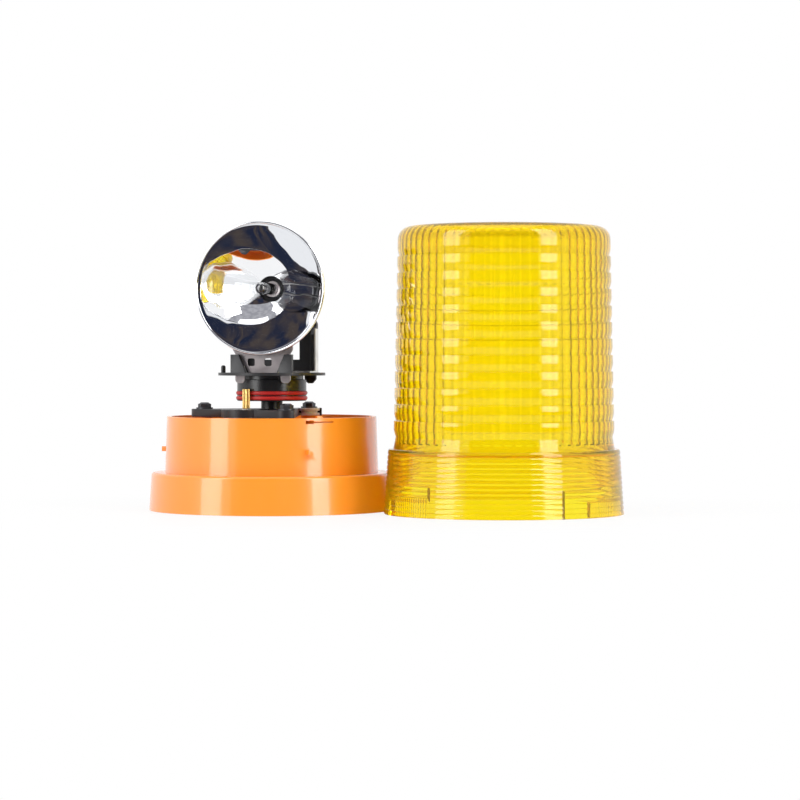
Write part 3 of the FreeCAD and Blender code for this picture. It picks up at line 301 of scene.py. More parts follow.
@dataclass(frozen=True)
class Moulded:
    """Moulded plastic or rubber with cloudy colour, a fine skin and rubbed spots."""

    name: str
    colour: Colour
    roughness: float = 0.35
    variety: float = 0.08
    rubbed: float = 0.12
    grain: float = 1800.0
    grain_height: float = 0.00002
    coat: float = 0.0
    coat_roughness: float = 0.08
    sheen: float = 0.0
    under: float = 0.0
    under_reach: float = 0.002
    cloud_scale: float = 38.0
    rub_scale: float = 95.0
    rub_stretch: Point = (1.0, 1.0, 0.35)
    rub_edge: tuple[float, float] = (0.55, 0.72)

    def material(self) -> Material:
        """Return the finish's material."""
        material, graph = fresh_material(self.name)
        clouds = graph.noise(self.cloud_scale, 4.0)
        fine = graph.noise(self.grain, 2.0)
        rubs = graph.mask(graph.noise(self.rub_scale, 6.0, self.rub_stretch), self.rub_edge)
        dark, pale = (shade(self.colour, 1 + part) for part in (-self.variety, self.variety))
        skin = {
            "Base Color": graph.blend(clouds, dark, pale),
            "Roughness": self.roughness + rubs * self.rubbed + fine * (self.rubbed / 3),
            "Normal": graph.bump(fine + clouds * 0.5, self.grain_height),
            "Coat Weight": self.coat,
            "Coat Roughness": self.coat_roughness,
            "Sheen Weight": self.sheen,
            "Subsurface Weight": self.under,
            "Subsurface Scale": self.under_reach,
        }
        graph.surface(graph.principled(skin))
        return material


@dataclass(frozen=True)
class Metal:
    """Bare or plated metal with drawn lines and dull spots."""

    name: str
    colour: Colour
    roughness: float = 0.25
    stretch: Point = EVEN
    lines: float = 2500.0
    line_height: float = 0.000004
    line_roughness: float = 0.08
    dull: float = 0.15
    dull_shade: float = 0.8
    dull_scale: float = 120.0
    dull_edge: tuple[float, float] = (0.45, 0.75)

    def material(self) -> Material:
        """Return the finish's material."""
        material, graph = fresh_material(self.name)
        drawn = graph.noise(self.lines, 3.0, self.stretch)
        dull = graph.mask(graph.noise(self.dull_scale, 5.0), self.dull_edge)
        skin = {
            "Base Color": graph.blend(dull, self.colour, shade(self.colour, self.dull_shade)),
            "Metallic": 1.0,
            "Roughness": self.roughness + dull * self.dull + drawn * self.line_roughness,
            "Normal": graph.bump(drawn, self.line_height),
        }
        graph.surface(graph.principled(skin))
        return material


@dataclass(frozen=True)
class Clear:
    """Clear or tinted moulding or glass."""

    name: str
    colour: Colour
    roughness: float = 0.03
    ior: float = 1.49
    streak_height: float = 0.00001
    haze: float = 0.05
    weight: float = 1.0
    depth_tint: Colour = WHITE
    depth_density: float = 0.0
    streak_scale: float = 60.0
    streak_stretch: Point = (1.0, 1.0, 0.2)
    streak_shade: float = 0.96
    speck_scale: float = 900.0
    speck_edge: tuple[float, float] = (0.62, 0.8)

    def material(self) -> Material:
        """Return the finish's material."""
        material, graph = fresh_material(self.name)
        streaks = graph.noise(self.streak_scale, 4.0, self.streak_stretch)
        specks = graph.mask(graph.noise(self.speck_scale, 2.0), self.speck_edge)
        skin = {
            "Base Color": graph.blend(streaks, self.colour, shade(self.colour, self.streak_shade)),
            "Roughness": self.roughness + specks * self.haze + streaks * (self.haze / 2),
            "IOR": self.ior,
            "Transmission Weight": self.weight,
            "Normal": graph.bump(streaks, self.streak_height),
        }
        inside = None
        if self.depth_density:
            tint = {"Color": self.depth_tint, "Density": self.depth_density}
            inside = graph.node("ShaderNodeVolumeAbsorption", sockets=tint)
        graph.surface(graph.principled(skin), inside)
        return material


@dataclass(frozen=True)
class Metallised:
    """Metallised mirror: nearly clean, with faint haze, ripple and dust."""

    name: str
    colour: Colour = (0.90, 0.91, 0.93)
    roughness: float = 0.02
    ripple: float = 0.0002
    ripple_scale: float = 55.0
    haze: float = 0.03
    haze_scale: float = 70.0
    haze_edge: tuple[float, float] = (0.45, 0.8)
    dust: float = 0.15
    dust_cover: float = 0.5
    dust_shade: float = 0.7
    dust_scale: float = 2400.0
    dust_edge: tuple[float, float] = (0.70, 0.78)

    def material(self) -> Material:
        """Return the finish's material."""
        material, graph = fresh_material(self.name)
        haze = graph.mask(graph.noise(self.haze_scale, 5.0), self.haze_edge)
        ripple = graph.noise(self.ripple_scale, 1.0)
        dust = graph.mask(graph.noise(self.dust_scale, 1.0), self.dust_edge)
        dusty = shade(self.colour, self.dust_shade)
        skin = {
            "Base Color": graph.blend(dust * self.dust_cover, self.colour, dusty),
            "Metallic": 1.0,
            "Roughness": self.roughness + haze * self.haze + dust * self.dust,
            "Normal": graph.bump(ripple, self.ripple),
        }
        graph.surface(graph.principled(skin))
        return material


ORANGE_SHELL = Moulded(
    "orange_shell", (0.97, 0.285, 0.018), 0.30, 0.03, 0.10, 1400.0, coat=0.8, coat_roughness=0.10
)
BLACK_CASE = Moulded("black_case", (0.016, 0.016, 0.018), 0.38, 0.25, 0.15)
BLACK_GLOSS = Moulded("black_gloss", (0.012, 0.012, 0.013), 0.22, 0.25, 0.12)
BLACK_RUBBER = Moulded("black_rubber_skin", (0.022, 0.022, 0.023), 0.62, 0.2, 0.1, 2600.0, 0.00004)
GREY_CASE = Moulded("grey_case", (0.06, 0.06, 0.065), 0.42, 0.15, 0.12)
PALE_SILICONE = Moulded(
    "pale_silicone_skin", (0.93, 0.91, 0.95), 0.42, 0.03, 0.10, sheen=0.1, under=0.15
)
RED_SILICONE = Moulded("red_silicone_skin", (0.55, 0.012, 0.008), 0.40, 0.15, 0.2, sheen=0.1)
AMBER_RUBBER = Moulded("amber_rubber_skin", (0.80, 0.30, 0.02), 0.50, 0.06, 0.1)
CARBON = Moulded("brush_carbon", (0.02, 0.02, 0.022), 0.55, 0.3, 0.1)
FERRITE = Moulded("ferrite_grey", (0.045, 0.047, 0.05), 0.6, 0.3, 0.15)
BLACKED_STEEL = Metal("blacked_steel", (0.10, 0.10, 0.11), 0.38)
BRIGHT_STEEL = Metal("bright_steel", (0.56, 0.57, 0.58), 0.22)
SPRING_STEEL = Metal("spring_wire", (0.42, 0.42, 0.43), 0.28)
STAINLESS = Metal("stainless_sheet", (0.56, 0.51, 0.51), 0.27, (0.15, 1.0, 1.0), 3500.0)
ZINCED = Metal("zinced_steel", (0.55, 0.56, 0.55), 0.34)
TINNED = Metal("tinned_strip_skin", (0.80, 0.79, 0.76), 0.30, (1.0, 0.2, 0.2))
BRASS = Metal("turned_brass", (0.82, 0.58, 0.23), 0.24, (0.3, 0.3, 2.5))
BRONZE = Metal("sintered_bronze", (0.55, 0.34, 0.16), 0.48)
LAMINATED = Metal("laminations", (0.33, 0.33, 0.35), 0.42, (0.05, 0.05, 6.0), 1500.0, 0.00002)
TUNGSTEN = Metal("tungsten_coil", (0.45, 0.44, 0.43), 0.35)
CHROMED = Metallised("metallised_mirror")
MIRROR_BACK = Metal("mirror_back", (0.46, 0.47, 0.49), 0.42, lines=900.0)
QUARTZ = Clear("quartz_glass", (0.98, 0.985, 0.99), 0.0, 1.46, 0.000002, 0.01)
AMBER = Clear(
    "amber_moulding",
    (1.0, 0.945, 0.014),
    ior=1.40,
    streak_height=0.000012,
    weight=0.9,
    depth_tint=(1.0, 0.86, 0.0),
    depth_density=280.0,
)


# Meshes


def smooth_mesh(mesh: Mesh, crease: float = CREASE) -> None:
    """Shade a mesh smooth, with edges steeper than an angle kept sharp."""
    mesh.polygons.foreach_set("use_smooth", [True] * len(mesh.polygons))
    mesh.set_sharp_from_angle(angle=math.radians(crease))


def mesh_from(
    name: str, points: Sequence[Point], faces: Sequence[Sequence[int]], crease: float
) -> Mesh:
    """Make a mesh with its faces turned outward.

    Args:
        name: The mesh's name.
        points: Its corners.
        faces: Its faces, as numbers of corners.
        crease: The angle above which an edge stays sharp.

    Returns:
        The mesh.
    """
    mesh = bpy.data.meshes.new(name)
    mesh.from_pydata([tuple(point) for point in points], [], [tuple(face) for face in faces])
    shape = bmesh.new()
    shape.from_mesh(mesh)
    bmesh.ops.remove_doubles(shape, verts=shape.verts, dist=WELD)
    bmesh.ops.recalc_face_normals(shape, faces=shape.faces)
    shape.to_mesh(mesh)
    shape.free()
    smooth_mesh(mesh, crease)
    return mesh


def turned_mesh(name: str, rings: Sequence[Ring | Station], steps: int, crease: float) -> Mesh:
    """Turn a closed profile about the upright axis.

    Args:
        name: The mesh's name.
        rings: (radius, height) stations, or functions that give one for a turn in degrees.
        steps: Faces round the axis.
        crease: The angle above which an edge stays sharp.

    Returns:
        The mesh.
    """
    points, faces = [], []
    for step in range(steps):
        turn = 360.0 * step / steps
        cosine, sine = math.cos(math.radians(turn)), math.sin(math.radians(turn))
        for ring in rings:
            radius, height = ring(turn) if callable(ring) else ring
            points.append((radius * cosine, radius * sine, height))
    count = len(rings)
    for step in range(steps):
        near, far = step * count, (step + 1) % steps * count
        for ring in range(count):
            after = (ring + 1) % count
            faces.append((near + ring, far + ring, far + after, near + after))
    return mesh_from(name, points, faces, crease)


def eased(corners: Sequence[Station], edge: float) -> list[Station]:
    """Take a small edge off each inner corner of an open profile.

    Args:
        corners: The profile's corners.
        edge: How far from its corner each edge starts.

    Returns:
        The profile with two stations for each inner corner.
    """
    most = 0.4
    path = [corners[0]]
    for before, corner, after in zip(corners, corners[1:], corners[2:]):
        for other in (before, after):
            reach = math.dist(corner, other)
            part = min(edge / reach, most) if reach > 0 else 0.0
            path.append(tuple(a + (b - a) * part for a, b in zip(corner, other)))
    return [*path, corners[-1]]


def arc(centre: Station, radius: float, start: float, end: float, steps: int) -> list[Station]:
    """Return stations along an arc, from one angle to another."""
    angles = [math.radians(start + (end - start) * step / steps) for step in range(steps + 1)]
    return [(centre[0] + radius * math.cos(a), centre[1] + radius * math.sin(a)) for a in angles]


def tube_mesh(name: str, path: Sequence[Point], radius: float, sides: int) -> Mesh:
    """Make a round wire along a path whose first run isn't along X.

    Args:
        name: The mesh's name.
        path: The points that the wire's middle passes through.
        radius: The wire's radius.
        sides: Faces round the wire.

    Returns:
        The mesh.
    """
    spots = [Vector(point) for point in path]
    points, faces = [], []
    across = Vector((1.0, 0.0, 0.0))
    for index, spot in enumerate(spots):
        ahead = (spots[min(index + 1, len(spots) - 1)] - spots[max(index - 1, 0)]).normalized()
        across = (across - ahead * across.dot(ahead)).normalized()
        other = ahead.cross(across)
        for side in range(sides):
            angle = math.tau * side / sides
            points.append(spot + (across * math.cos(angle) + other * math.sin(angle)) * radius)
    for index in range(len(spots) - 1):
        for side in range(sides):
            after = (side + 1) % sides
            near, far = index * sides, (index + 1) * sides
            faces.append((near + side, near + after, far + after, far + side))
    faces.append(tuple(range(sides))[::-1])
    faces.append(tuple(range((len(spots) - 1) * sides, len(spots) * sides)))
    return mesh_from(name, points, faces, WIRE_CREASE)


# Placing pieces


class Bench:
    """Puts finished pieces on the frame and keeps the list of them."""

    def __init__(self, frame: dict) -> None:
        """Keep the frame's nodes and their material slots.
        """
        self.nodes = frame["nodes"]
        self.slots = {
            name: node.material_slots[0].material.name for name, node in self.nodes.items()
        }
        self.materials: dict[str, Material] = {}

    def finish(self, finish: Finish) -> Material:
        """Return a finish's material, made once."""
        made = self.materials.get(finish.name) or finish.material()
        return self.materials.setdefault(finish.name, made)

    def place(
        self, name: str, mesh: Mesh, finish: Finish, body: Body, slot: str, *nodes: str
    ) -> Object:
        """Put a piece on a body.

        Args:
            name: The piece's name.
            mesh: Its mesh, in the frame's own place.
            finish: Its finish.
            body: The body that it rides on.
            slot: The record's material slot, which is not used.
            nodes: The nodes of the frame that it stands for.

        Returns:
            The piece.
        """
        piece = bpy.data.objects.new(name, mesh)
        bpy.context.scene.collection.objects.link(piece)
        mesh.materials.clear()
        mesh.materials.append(self.finish(finish))
        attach(piece, body.value)
        if nodes:
            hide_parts(*nodes)
        LOG.info("%s: %d faces in %s", name, len(mesh.polygons), finish.name)
        return piece

    def dress(self, node: str, finish: Finish, body: Body, edge: float) -> Object:
        """Stand a cleaned copy of a node in its place, with its edges eased.

        Args:
            node: The node's name.
            finish: The copy's finish.
            body: The body that it rides on.
            edge: Width of the eased edges, or 0 for none.

        Returns:
            The copy.
        """
        mesh = self.nodes[node].data.copy()
        mesh.name = f"{node}_dressed"
        shape = bmesh.new()
        shape.from_mesh(mesh)
        bmesh.ops.remove_doubles(shape, verts=shape.verts, dist=PACKED_WELD)
        bmesh.ops.dissolve_limit(
            shape, angle_limit=math.radians(FLAT), verts=shape.verts, edges=shape.edges
        )
        bmesh.ops.recalc_face_normals(shape, faces=shape.faces)
        shape.to_mesh(mesh)
        shape.free()
        smooth_mesh(mesh)
        piece = self.place(f"{node}_dressed", mesh, finish, body, self.slots[node], node)
        if edge:
            bevel = piece.modifiers.new("eased_edge", "BEVEL")
            bevel.width, bevel.segments = edge, 2
            bevel.limit_method, bevel.angle_limit = "ANGLE", math.radians(CREASE)
            bevel.harden_normals = True
        return piece

    def dress_all(self, body: Body, *rows: tuple[str, Finish, float]) -> None:
        """Dress a body's nodes from rows of a name, a finish and the width of its eased edges."""
        for node, finish, edge in rows:
            self.dress(node, finish, body, edge)


# Sub-assemblies


@dataclass
class BaseShell:
    """The orange base, its gasket and what its supply comes in through."""

    bench: Bench
    edge: float = 0.0003
    soft_edge: float = 0.0002
    metal_edge: float = 0.0001

    def build(self) -> None:
        """Dress the base's pieces."""
        self.bench.dress_all(
            Body.BASE,
            ("base_housing", ORANGE_SHELL, self.edge),
            ("mounting_gasket", BLACK_RUBBER, self.soft_edge),
            ("cable_grommet", BLACK_RUBBER, self.soft_edge),
            ("terminal_block", GREY_CASE, self.soft_edge),
            ("terminal_screws", BRIGHT_STEEL, self.metal_edge),
        )


@dataclass
class Chassis:
    """The black tray on the columns, its screws and the pale spool in its fork."""

    bench: Bench
    edge: float = 0.00025
    screw_edge: float = 0.00015
    washer_edge: float = 0.00012

    def build(self) -> None:
        """Dress the chassis's pieces."""
        self.bench.dress_all(
            Body.BASE,
            ("chassis_plate", BLACK_CASE, self.edge),
            ("chassis_grommet", PALE_SILICONE, self.edge),
            ("chassis_screws", BLACKED_STEEL, self.screw_edge),
            ("chassis_washers", BLACKED_STEEL, self.washer_edge),
        )


@dataclass
class Drive:
    """The motor, its brass roller and the spindle that the drum turns on."""

    bench: Bench
    knurls: int = 48
    knurl_depth: float = 0.00008
    end_ease: float = 0.12

    def build(self) -> None:
        """Dress the motor's and the spindle's pieces."""
        self.bench.dress_all(
            Body.BASE,
            ("spindle", BRIGHT_STEEL, 0.0),
            ("spindle_clip", SPRING_STEEL, 0.0),
            ("brush_sleeve", GREY_CASE, 0.0),
            ("contact_brush", CARBON, 0.0),
            ("brush_spring", SPRING_STEEL, 0.0),
            ("motor_can", ZINCED, 0.0),
            ("motor_end_cap", GREY_CASE, 0.0),
            ("motor_bushes", BRONZE, 0.0),
            ("motor_magnets", FERRITE, 0.0),
            ("motor_screws", BRIGHT_STEEL, 0.0),
        )
        self.bench.dress_all(
            Body.MOTOR,
            ("motor_shaft", BRIGHT_STEEL, 0.0),
            ("armature", LAMINATED, 0.0),
            ("commutator", BRONZE, 0.0),
        )
        self.build_roller()

    def build_roller(self) -> None:
        """Turn the brass roller with a finely knurled face and eased ends."""
        name = "friction_roller_dressed"
        low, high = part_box("friction_roller")
        shaft_low, shaft_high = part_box("motor_shaft")
        radius, bore = (high.x - low.x) / 2, (shaft_high.x - shaft_low.x) / 2
        height, ease = high.z - low.z, radius * self.end_ease
        face = [partial(self.knurled, radius, level) for level in (ease, height - ease)]
        rings = [(bore, 0.0), (radius - ease, 0.0), *face, (radius - ease, height), (bore, height)]
        mesh = turned_mesh(name, rings, self.knurls * 2, TURNED_CREASE)
        mesh.transform(Matrix.Translation(((low.x + high.x) / 2, (low.y + high.y) / 2, low.z)))
        self.bench.place(name, mesh, BRASS, Body.MOTOR, "brass", "friction_roller")

    def knurled(self, radius: float, level: float, turn: float) -> Station:
        """Return a station of the roller's face, where the knurl cuts in every other one."""
        return radius - self.knurl_depth * (round(turn * self.knurls / 180) % 2), level


@dataclass
class Carrier:
    """The drum with its red rings, the disc and the bracket that the mirror stands in."""

    bench: Bench
    drum_edge: float = 0.00025
    disc_edge: float = 0.0002
    sheet_edge: float = 0.00012

    def build(self) -> None:
        """Dress the turning carrier's pieces."""
        self.bench.dress_all(
            Body.MIRROR,
            ("rotor_drum", BLACK_GLOSS, self.drum_edge),
            ("drive_ring_lower", RED_SILICONE, 0.0),
            ("drive_ring_upper", RED_SILICONE, 0.0),
            ("rotor_bush_lower", BRONZE, 0.0),
            ("rotor_bush_upper", BRONZE, 0.0),
            ("rotor_disc", BLACK_CASE, self.disc_edge),
            ("centre_contact", BRASS, 0.0),
            ("mirror_bracket", STAINLESS, self.sheet_edge),
            ("contact_strip", TINNED, self.sheet_edge),
        )


@dataclass
class MirrorAndLamp:
    """The metallised mirror with its halogen lamp, socket and black holder."""

    bench: Bench
    radius: float = 0.039
    depth: float = 0.0265
    mouth: float = 0.027
    wall: float = 0.002
    neck: float = 0.008
    lip: float = 0.0008
    lip_arc: tuple[float, float] = (200.0, 380.0)
    base_to_filament: float = 0.025
    barrel: float = 0.009
    glass_radius: float = 0.0036
    glass_wall: float = 0.0008
    glass_length: float = 0.028
    glass_fit: float = 0.0001
    pinch_rise: float = 0.002
    pinch_waist: float = 0.35
    filament_radius: float = 0.0007
    filament_length: float = 0.005
    filament_turns: int = 11
    filament_steps: int = 14
    lead_spread: float = 1.6
    lead_reach: float = 0.0008
    lead_bend: float = 0.001
    wire: float = 0.00012
    wire_sides: int = 8
    holder_edge: float = 0.0003
    socket_edge: float = 0.0002
    sheet_edge: float = 0.0001
    rest_turn: float = 13.0
    round_steps: int = 144
    depth_steps: int = 44
    lip_steps: int = 12
    mouth_crease: float = 60.0
    glass_steps: int = 48
    dome_steps: int = 12

    @property
    def focus(self) -> float:
        """Distance from the mirror's vertex to its focus."""
        return self.radius**2 / (4 * self.depth)

    @property
    def setback(self) -> float:
        """Where the mirror's vertex is along the beam."""
        return self.depth - self.mouth

    @property
    def filament_y(self) -> float:
        """Where the filament's middle is along the beam."""
        return self.setback - self.focus

    @property
    def lamp_seat(self) -> float:
        """Where the lamp's flange seats along the beam."""
        return self.filament_y + self.base_to_filament

    @property
    def axis_height(self) -> float:
        """Height of the mirror's axis, from the glass's box."""
        low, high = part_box("lamp_glass")
        return (low.z + high.z) / 2

    def onto_beam(self, mesh: Mesh) -> Mesh:
        """Lay a mesh that was turned about Z on the mirror's axis.

        Args:
            mesh: The mesh, with its heights measured along the beam.

        Returns:
            The same mesh, moved.
        """
        lay = Matrix.Rotation(math.radians(-90.0), 4, "X")
        turn = Matrix.Rotation(math.radians(-self.rest_turn), 4, "Z")
        mesh.transform(Matrix.Translation((0.0, 0.0, self.axis_height)) @ turn @ lay)
        return mesh

    def is_back(self, spot: Vector) -> bool:
        """Tell whether a place on the upright bowl is on its back.

        Args:
            spot: The place, before the bowl is laid on the beam.

        Returns:
            Whether it is past the middle of the wall and inside the lip.
        """
        reach = math.hypot(spot.x, spot.y)
        middle = self.setback + self.wall / 2 - reach**2 / (4 * self.focus)
        return spot.z > middle and reach < self.radius - self.lip

    def build(self) -> None:
        """Build the mirror and the lamp, and dress the holder."""
        self.build_mirror()
        self.build_glass()
        self.build_filament()
        self.bench.dress_all(
            Body.MIRROR,
            ("lamp_holder", BLACK_CASE, self.holder_edge),
            ("lamp_socket", BLACK_GLOSS, self.socket_edge),
            ("lamp_base", STAINLESS, self.sheet_edge),
            ("lamp_blade", TINNED, self.sheet_edge),
        )

    def build_mirror(self) -> None:
        """Turn the parabolic mirror with its rolled lip and its dull back."""
        name = "mirror_dressed"
        outer_mouth = 2 * math.sqrt(self.focus * (self.depth + self.wall))
        steps = [index / self.depth_steps for index in range(self.depth_steps + 1)]
        inner = [self.neck + (self.radius - self.neck) * step for step in steps]
        outer = [self.neck + (outer_mouth - self.neck) * step for step in steps]
        bowl = [(r, self.setback - r * r / (4 * self.focus)) for r in inner]
        back = [(r, self.setback + self.wall - r * r / (4 * self.focus)) for r in reversed(outer)]
        mouth = ((self.radius + outer_mouth) / 2, self.setback - self.depth)
        lip = arc(mouth, self.lip, *self.lip_arc, self.lip_steps)
        mesh = turned_mesh(name, bowl[:-1] + lip + back[1:], self.round_steps, self.mouth_crease)
        finishes = [int(self.is_back(face.center)) for face in mesh.polygons]
        self.bench.place(name, self.onto_beam(mesh), CHROMED, Body.MIRROR, "chromed", "mirror")
        mesh.materials.append(self.bench.finish(MIRROR_BACK))
        mesh.polygons.foreach_set("material_index", finishes)

    def build_glass(self) -> None:
        """Blow the lamp's glass: a thin tube with a domed end and a solid pinch."""
        name = "lamp_glass_dressed"
        seat, radius, wall = self.lamp_seat, self.glass_radius, self.glass_wall
        pinch = seat - self.barrel
        tip = pinch + self.glass_fit - self.glass_length
        outside = arc((0.0, 0.0), radius, 0.0, 90.0, self.dome_steps)
        inside = arc((0.0, 0.0), radius - wall, 90.0, 0.0, self.dome_steps)
        dome, hollow = ([(r, tip + radius - h) for r, h in side] for side in (outside, inside))
        rings = [
            (AXIS_RADIUS, seat), (radius, seat), *dome[:-1], (AXIS_RADIUS, tip),
            (AXIS_RADIUS, tip + wall), *hollow[1:], (radius - wall, pinch - self.pinch_rise),
            (radius * self.pinch_waist, pinch), (AXIS_RADIUS, pinch),
        ]
        mesh = self.onto_beam(turned_mesh(name, rings, self.glass_steps, TURNED_CREASE))
        self.bench.place(name, mesh, QUARTZ, Body.MIRROR, "lamp_quartz", "lamp_glass")

    def build_filament(self) -> None:
        """Wind the filament across the focus and lead its ends back to the pinch."""
        name = "lamp_filament_dressed"
        front = self.filament_y - self.filament_length / 2
        steps = self.filament_turns * self.filament_steps
        reach = self.filament_radius - self.wire
        coil = []
        for step in range(steps + 1):
            angle = math.tau * self.filament_turns * step / steps
            level = front + self.filament_length * step / steps
            coil.append((reach * math.cos(angle), reach * math.sin(angle), level))
        pinch = self.lamp_seat - self.barrel
        far = self.filament_radius * self.lead_spread
        near = far * 0.5
        lead = [(-far, pinch), (-far, front - self.lead_reach), (-near, front - self.lead_bend)]
        tail = [(near, coil[-1][2] + self.lead_reach), (near, pinch)]
        path = [(0.0, *spot) for spot in lead] + coil + [(0.0, *spot) for spot in tail]
        mesh = self.onto_beam(tube_mesh(name, path, self.wire, self.wire_sides))
        self.bench.place(name, mesh, TUNGSTEN, Body.MIRROR, "tungsten", "lamp_filament")


@dataclass
class Lens:
    """The amber lens: a toothed collar with bayonet tracks, stepped bands and inner flutes."""

    bench: Bench
    collar_radius: float = 0.0718
    collar_taper: float = 0.0025
    collar_height: float = 0.0386
    collar_bore: float = 0.0664
    collar_roof: float = 0.0021
    teeth: int = 13
    tooth_depth: float = 0.0006
    tooth_land: float = 0.62
    tooth_lean: float = 0.1
    radius: float = 0.0662
    taper: float = 0.0027
    bands: int = 12
    band_bottom: float = 0.04576
    band_top: float = 0.163
    band_depth: float = 0.0012
    band_ramp: float = 0.0045
    band_knee: tuple[float, float] = (0.55, 0.36)
    height: float = 0.1725
    crown: float = 0.0012
    shoulder: float = 0.008
    shoulder_arc: tuple[float, float] = (2.0, 88.0)
    shoulder_steps: int = 12
    roof_steps: int = 10
    cap_parts: tuple[float, ...] = (0.85, 0.6, 0.35, 0.12)
    wall: float = 0.0033
    roof: float = 0.003
    flutes: int = 64
    flute_radius: float = 0.0056
    flute_depth: float = 0.00072
    flute_start: float = 0.004
    flute_levels: int = 8
    flute_runout: float = 0.0008
    flute_fade: int = 6
    track_radius: float = 0.0689
    track_starts: tuple[float, ...] = (-62.2, 57.8, 177.8)
    track_mouth: float = 16.0
    track_turn: float = 26.0
    track_span: float = 50.9
    track_low: float = 0.009
    track_high: float = 0.016
    track_lift: float = 0.0019
    track_slope: float = 5.0
    rib_span: tuple[float, float] = (23.2, 48.9)
    rib_height: float = 0.0073
    rib_depth: float = 0.0004
    rib_steps: int = 3
    mouth_share: float = 0.001
    steps_per_flute: int = 10
    edge: float = 0.00015
    seal_edge: float = 0.0002
    crease: float = 10.0
    step_gap: float = 0.00005

    @property
    def slope(self) -> float:
        """How much the wall leans in for each metre of height."""
        return self.taper / (self.band_top - self.collar_height)

    @property
    def steps(self) -> int:
        """Faces round the lens."""
        return self.flutes * self.steps_per_flute

    def build(self) -> None:
        """Build the lens and dress its seal."""
        low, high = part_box("lens")
        rings = self.outer_rings() + self.inner_rings()
        mesh = turned_mesh("lens_dressed", rings, self.steps, self.crease)
        mesh.transform(Matrix.Translation(((low.x + high.x) / 2, (low.y + high.y) / 2, 0.0)))
        self.bench.place("lens_dressed", mesh, AMBER, Body.LENS, "amber_plastic", "lens")
        self.bench.dress("lens_seal", AMBER_RUBBER, Body.LENS, self.seal_edge)

    def outer_rings(self) -> list[Station]:
        """Return the outer profile, from the collar's foot to the middle of the crown."""
        corners = [(self.collar_radius, 0.0), *self.collar_corners(), *self.band_corners()]
        top = self.radius - self.taper
        rim = self.height - self.crown
        side = eased(corners[1:], self.edge)
        middle = (top - self.shoulder, rim - self.shoulder)
        shoulder = arc(middle, self.shoulder, *self.shoulder_arc, self.shoulder_steps)
        cap = [(top * part, self.height - self.crown * part) for part in self.cap_parts]
        return [corners[0], *side[1:], *shoulder, *cap, (AXIS_RADIUS, self.height)]

    def collar_corners(self) -> list[Station]:
        """Return the toothed collar's corners, with a nearly upright land on each tooth."""
        pitch = self.collar_height / self.teeth
        tooth_steps = ((0.0, 0.0), (self.tooth_land, self.tooth_lean), (1.0, 1.0))
        corners = []
        for tooth in range(self.teeth):
            for part, cut in tooth_steps:
                step = tooth + part
                lean = self.collar_taper * step / self.teeth
                depth = cut * self.tooth_depth
                corners.append((self.collar_radius - lean - depth, step * pitch))
        return [*corners, (self.radius, self.collar_height)]

    def band_corners(self) -> list[Station]:
        """Return the stepped bands' corners, each with a curved ramp out of its groove."""
        pitch = (self.band_top - self.band_bottom) / self.bands
        knee, knee_cut = self.band_knee
        ramp = self.band_ramp
        band_steps = ((0.0, 1.0), (ramp * knee, knee_cut), (ramp, 0.0), (pitch, 0.0))
        corners = []
        for band in range(self.bands):
            low = self.band_bottom + band * pitch
            for rise, cut in band_steps:
                lean = self.slope * (low + rise - self.collar_height)
                corners.append((self.radius - lean - self.band_depth * cut, low + rise))
        return corners

    def flute(self, turn: float) -> float:
        """Return how far the flutes cut into the wall.

        Args:
            turn: The turn round the lens.

        Returns:
            The depth of the cut there.
        """
        bore = self.radius - self.wall
        pitch = 360.0 / self.flutes
        angle = math.radians((turn + pitch / 2) % pitch - pitch / 2)
        middle = bore + self.flute_depth - self.flute_radius
        aside = middle * math.sin(angle)
        reach = middle * math.cos(angle) + math.sqrt(self.flute_radius**2 - aside**2)
        return max(0.0, reach - bore)

    def track_at(self, turn: float) -> tuple[float, float] | None:
        """Return the edges of the bayonet track.

        Args:
            turn: The turn round the lens.

        Returns:
            The track's lower and upper edge there, or None beside the tracks.
        """
        for start in self.track_starts:
            into = (turn - start) % 360.0
            if into < self.track_mouth:
                return 0.0, self.track_high
            if into < self.track_span:
                part = min(1.0, max(0.0, (into - self.track_turn) / self.track_slope + 0.5))
                lift = self.track_lift * part
                return self.track_low + lift, self.track_high + lift
        return None

    def track_edge(self, upper: bool, inside: bool, turn: float) -> Station:
        """Return a station beside one edge of the tracks.

        Args:
            upper: Whether it is by the upper edge.
            inside: Whether it stands in the tracks and not on the bore.
            turn: The turn round the lens.

        Returns:
            The station.
        """
        track = self.track_at(turn)
        level = (self.track_low, self.track_high)[upper] if track is None else track[upper]
        if track is not None and level == 0.0:
            return self.track_radius, self.step_gap * (2 if inside else 1)
        radius = self.collar_bore if track is None or not inside else self.track_radius
        return radius, level - (self.step_gap if inside == upper else -self.step_gap)

    def ribbed(self, level: float, turn: float) -> Station:
        """Return a station of the collar's bore, with fine upright ribs beside each mouth.

        Args:
            level: The station's height.
            turn: The turn round the lens.

        Returns:
            The station.
        """
        for start in self.track_starts:
            into = (turn - start) % 360.0
            if into < self.track_mouth:
                return self.track_radius, level * self.mouth_share
            if self.rib_span[0] <= into <= self.rib_span[1]:
                cut = round(into * self.steps / 360.0) % self.rib_steps == 0
                return self.collar_bore + self.rib_depth * cut, level
        return self.collar_bore, level

    def fluted(self, radius: float, level: float, share: float, turn: float) -> Station:
        """Return a station of the bore, with a share of the flutes' depth cut in."""
        return radius + self.flute(turn) * share, level

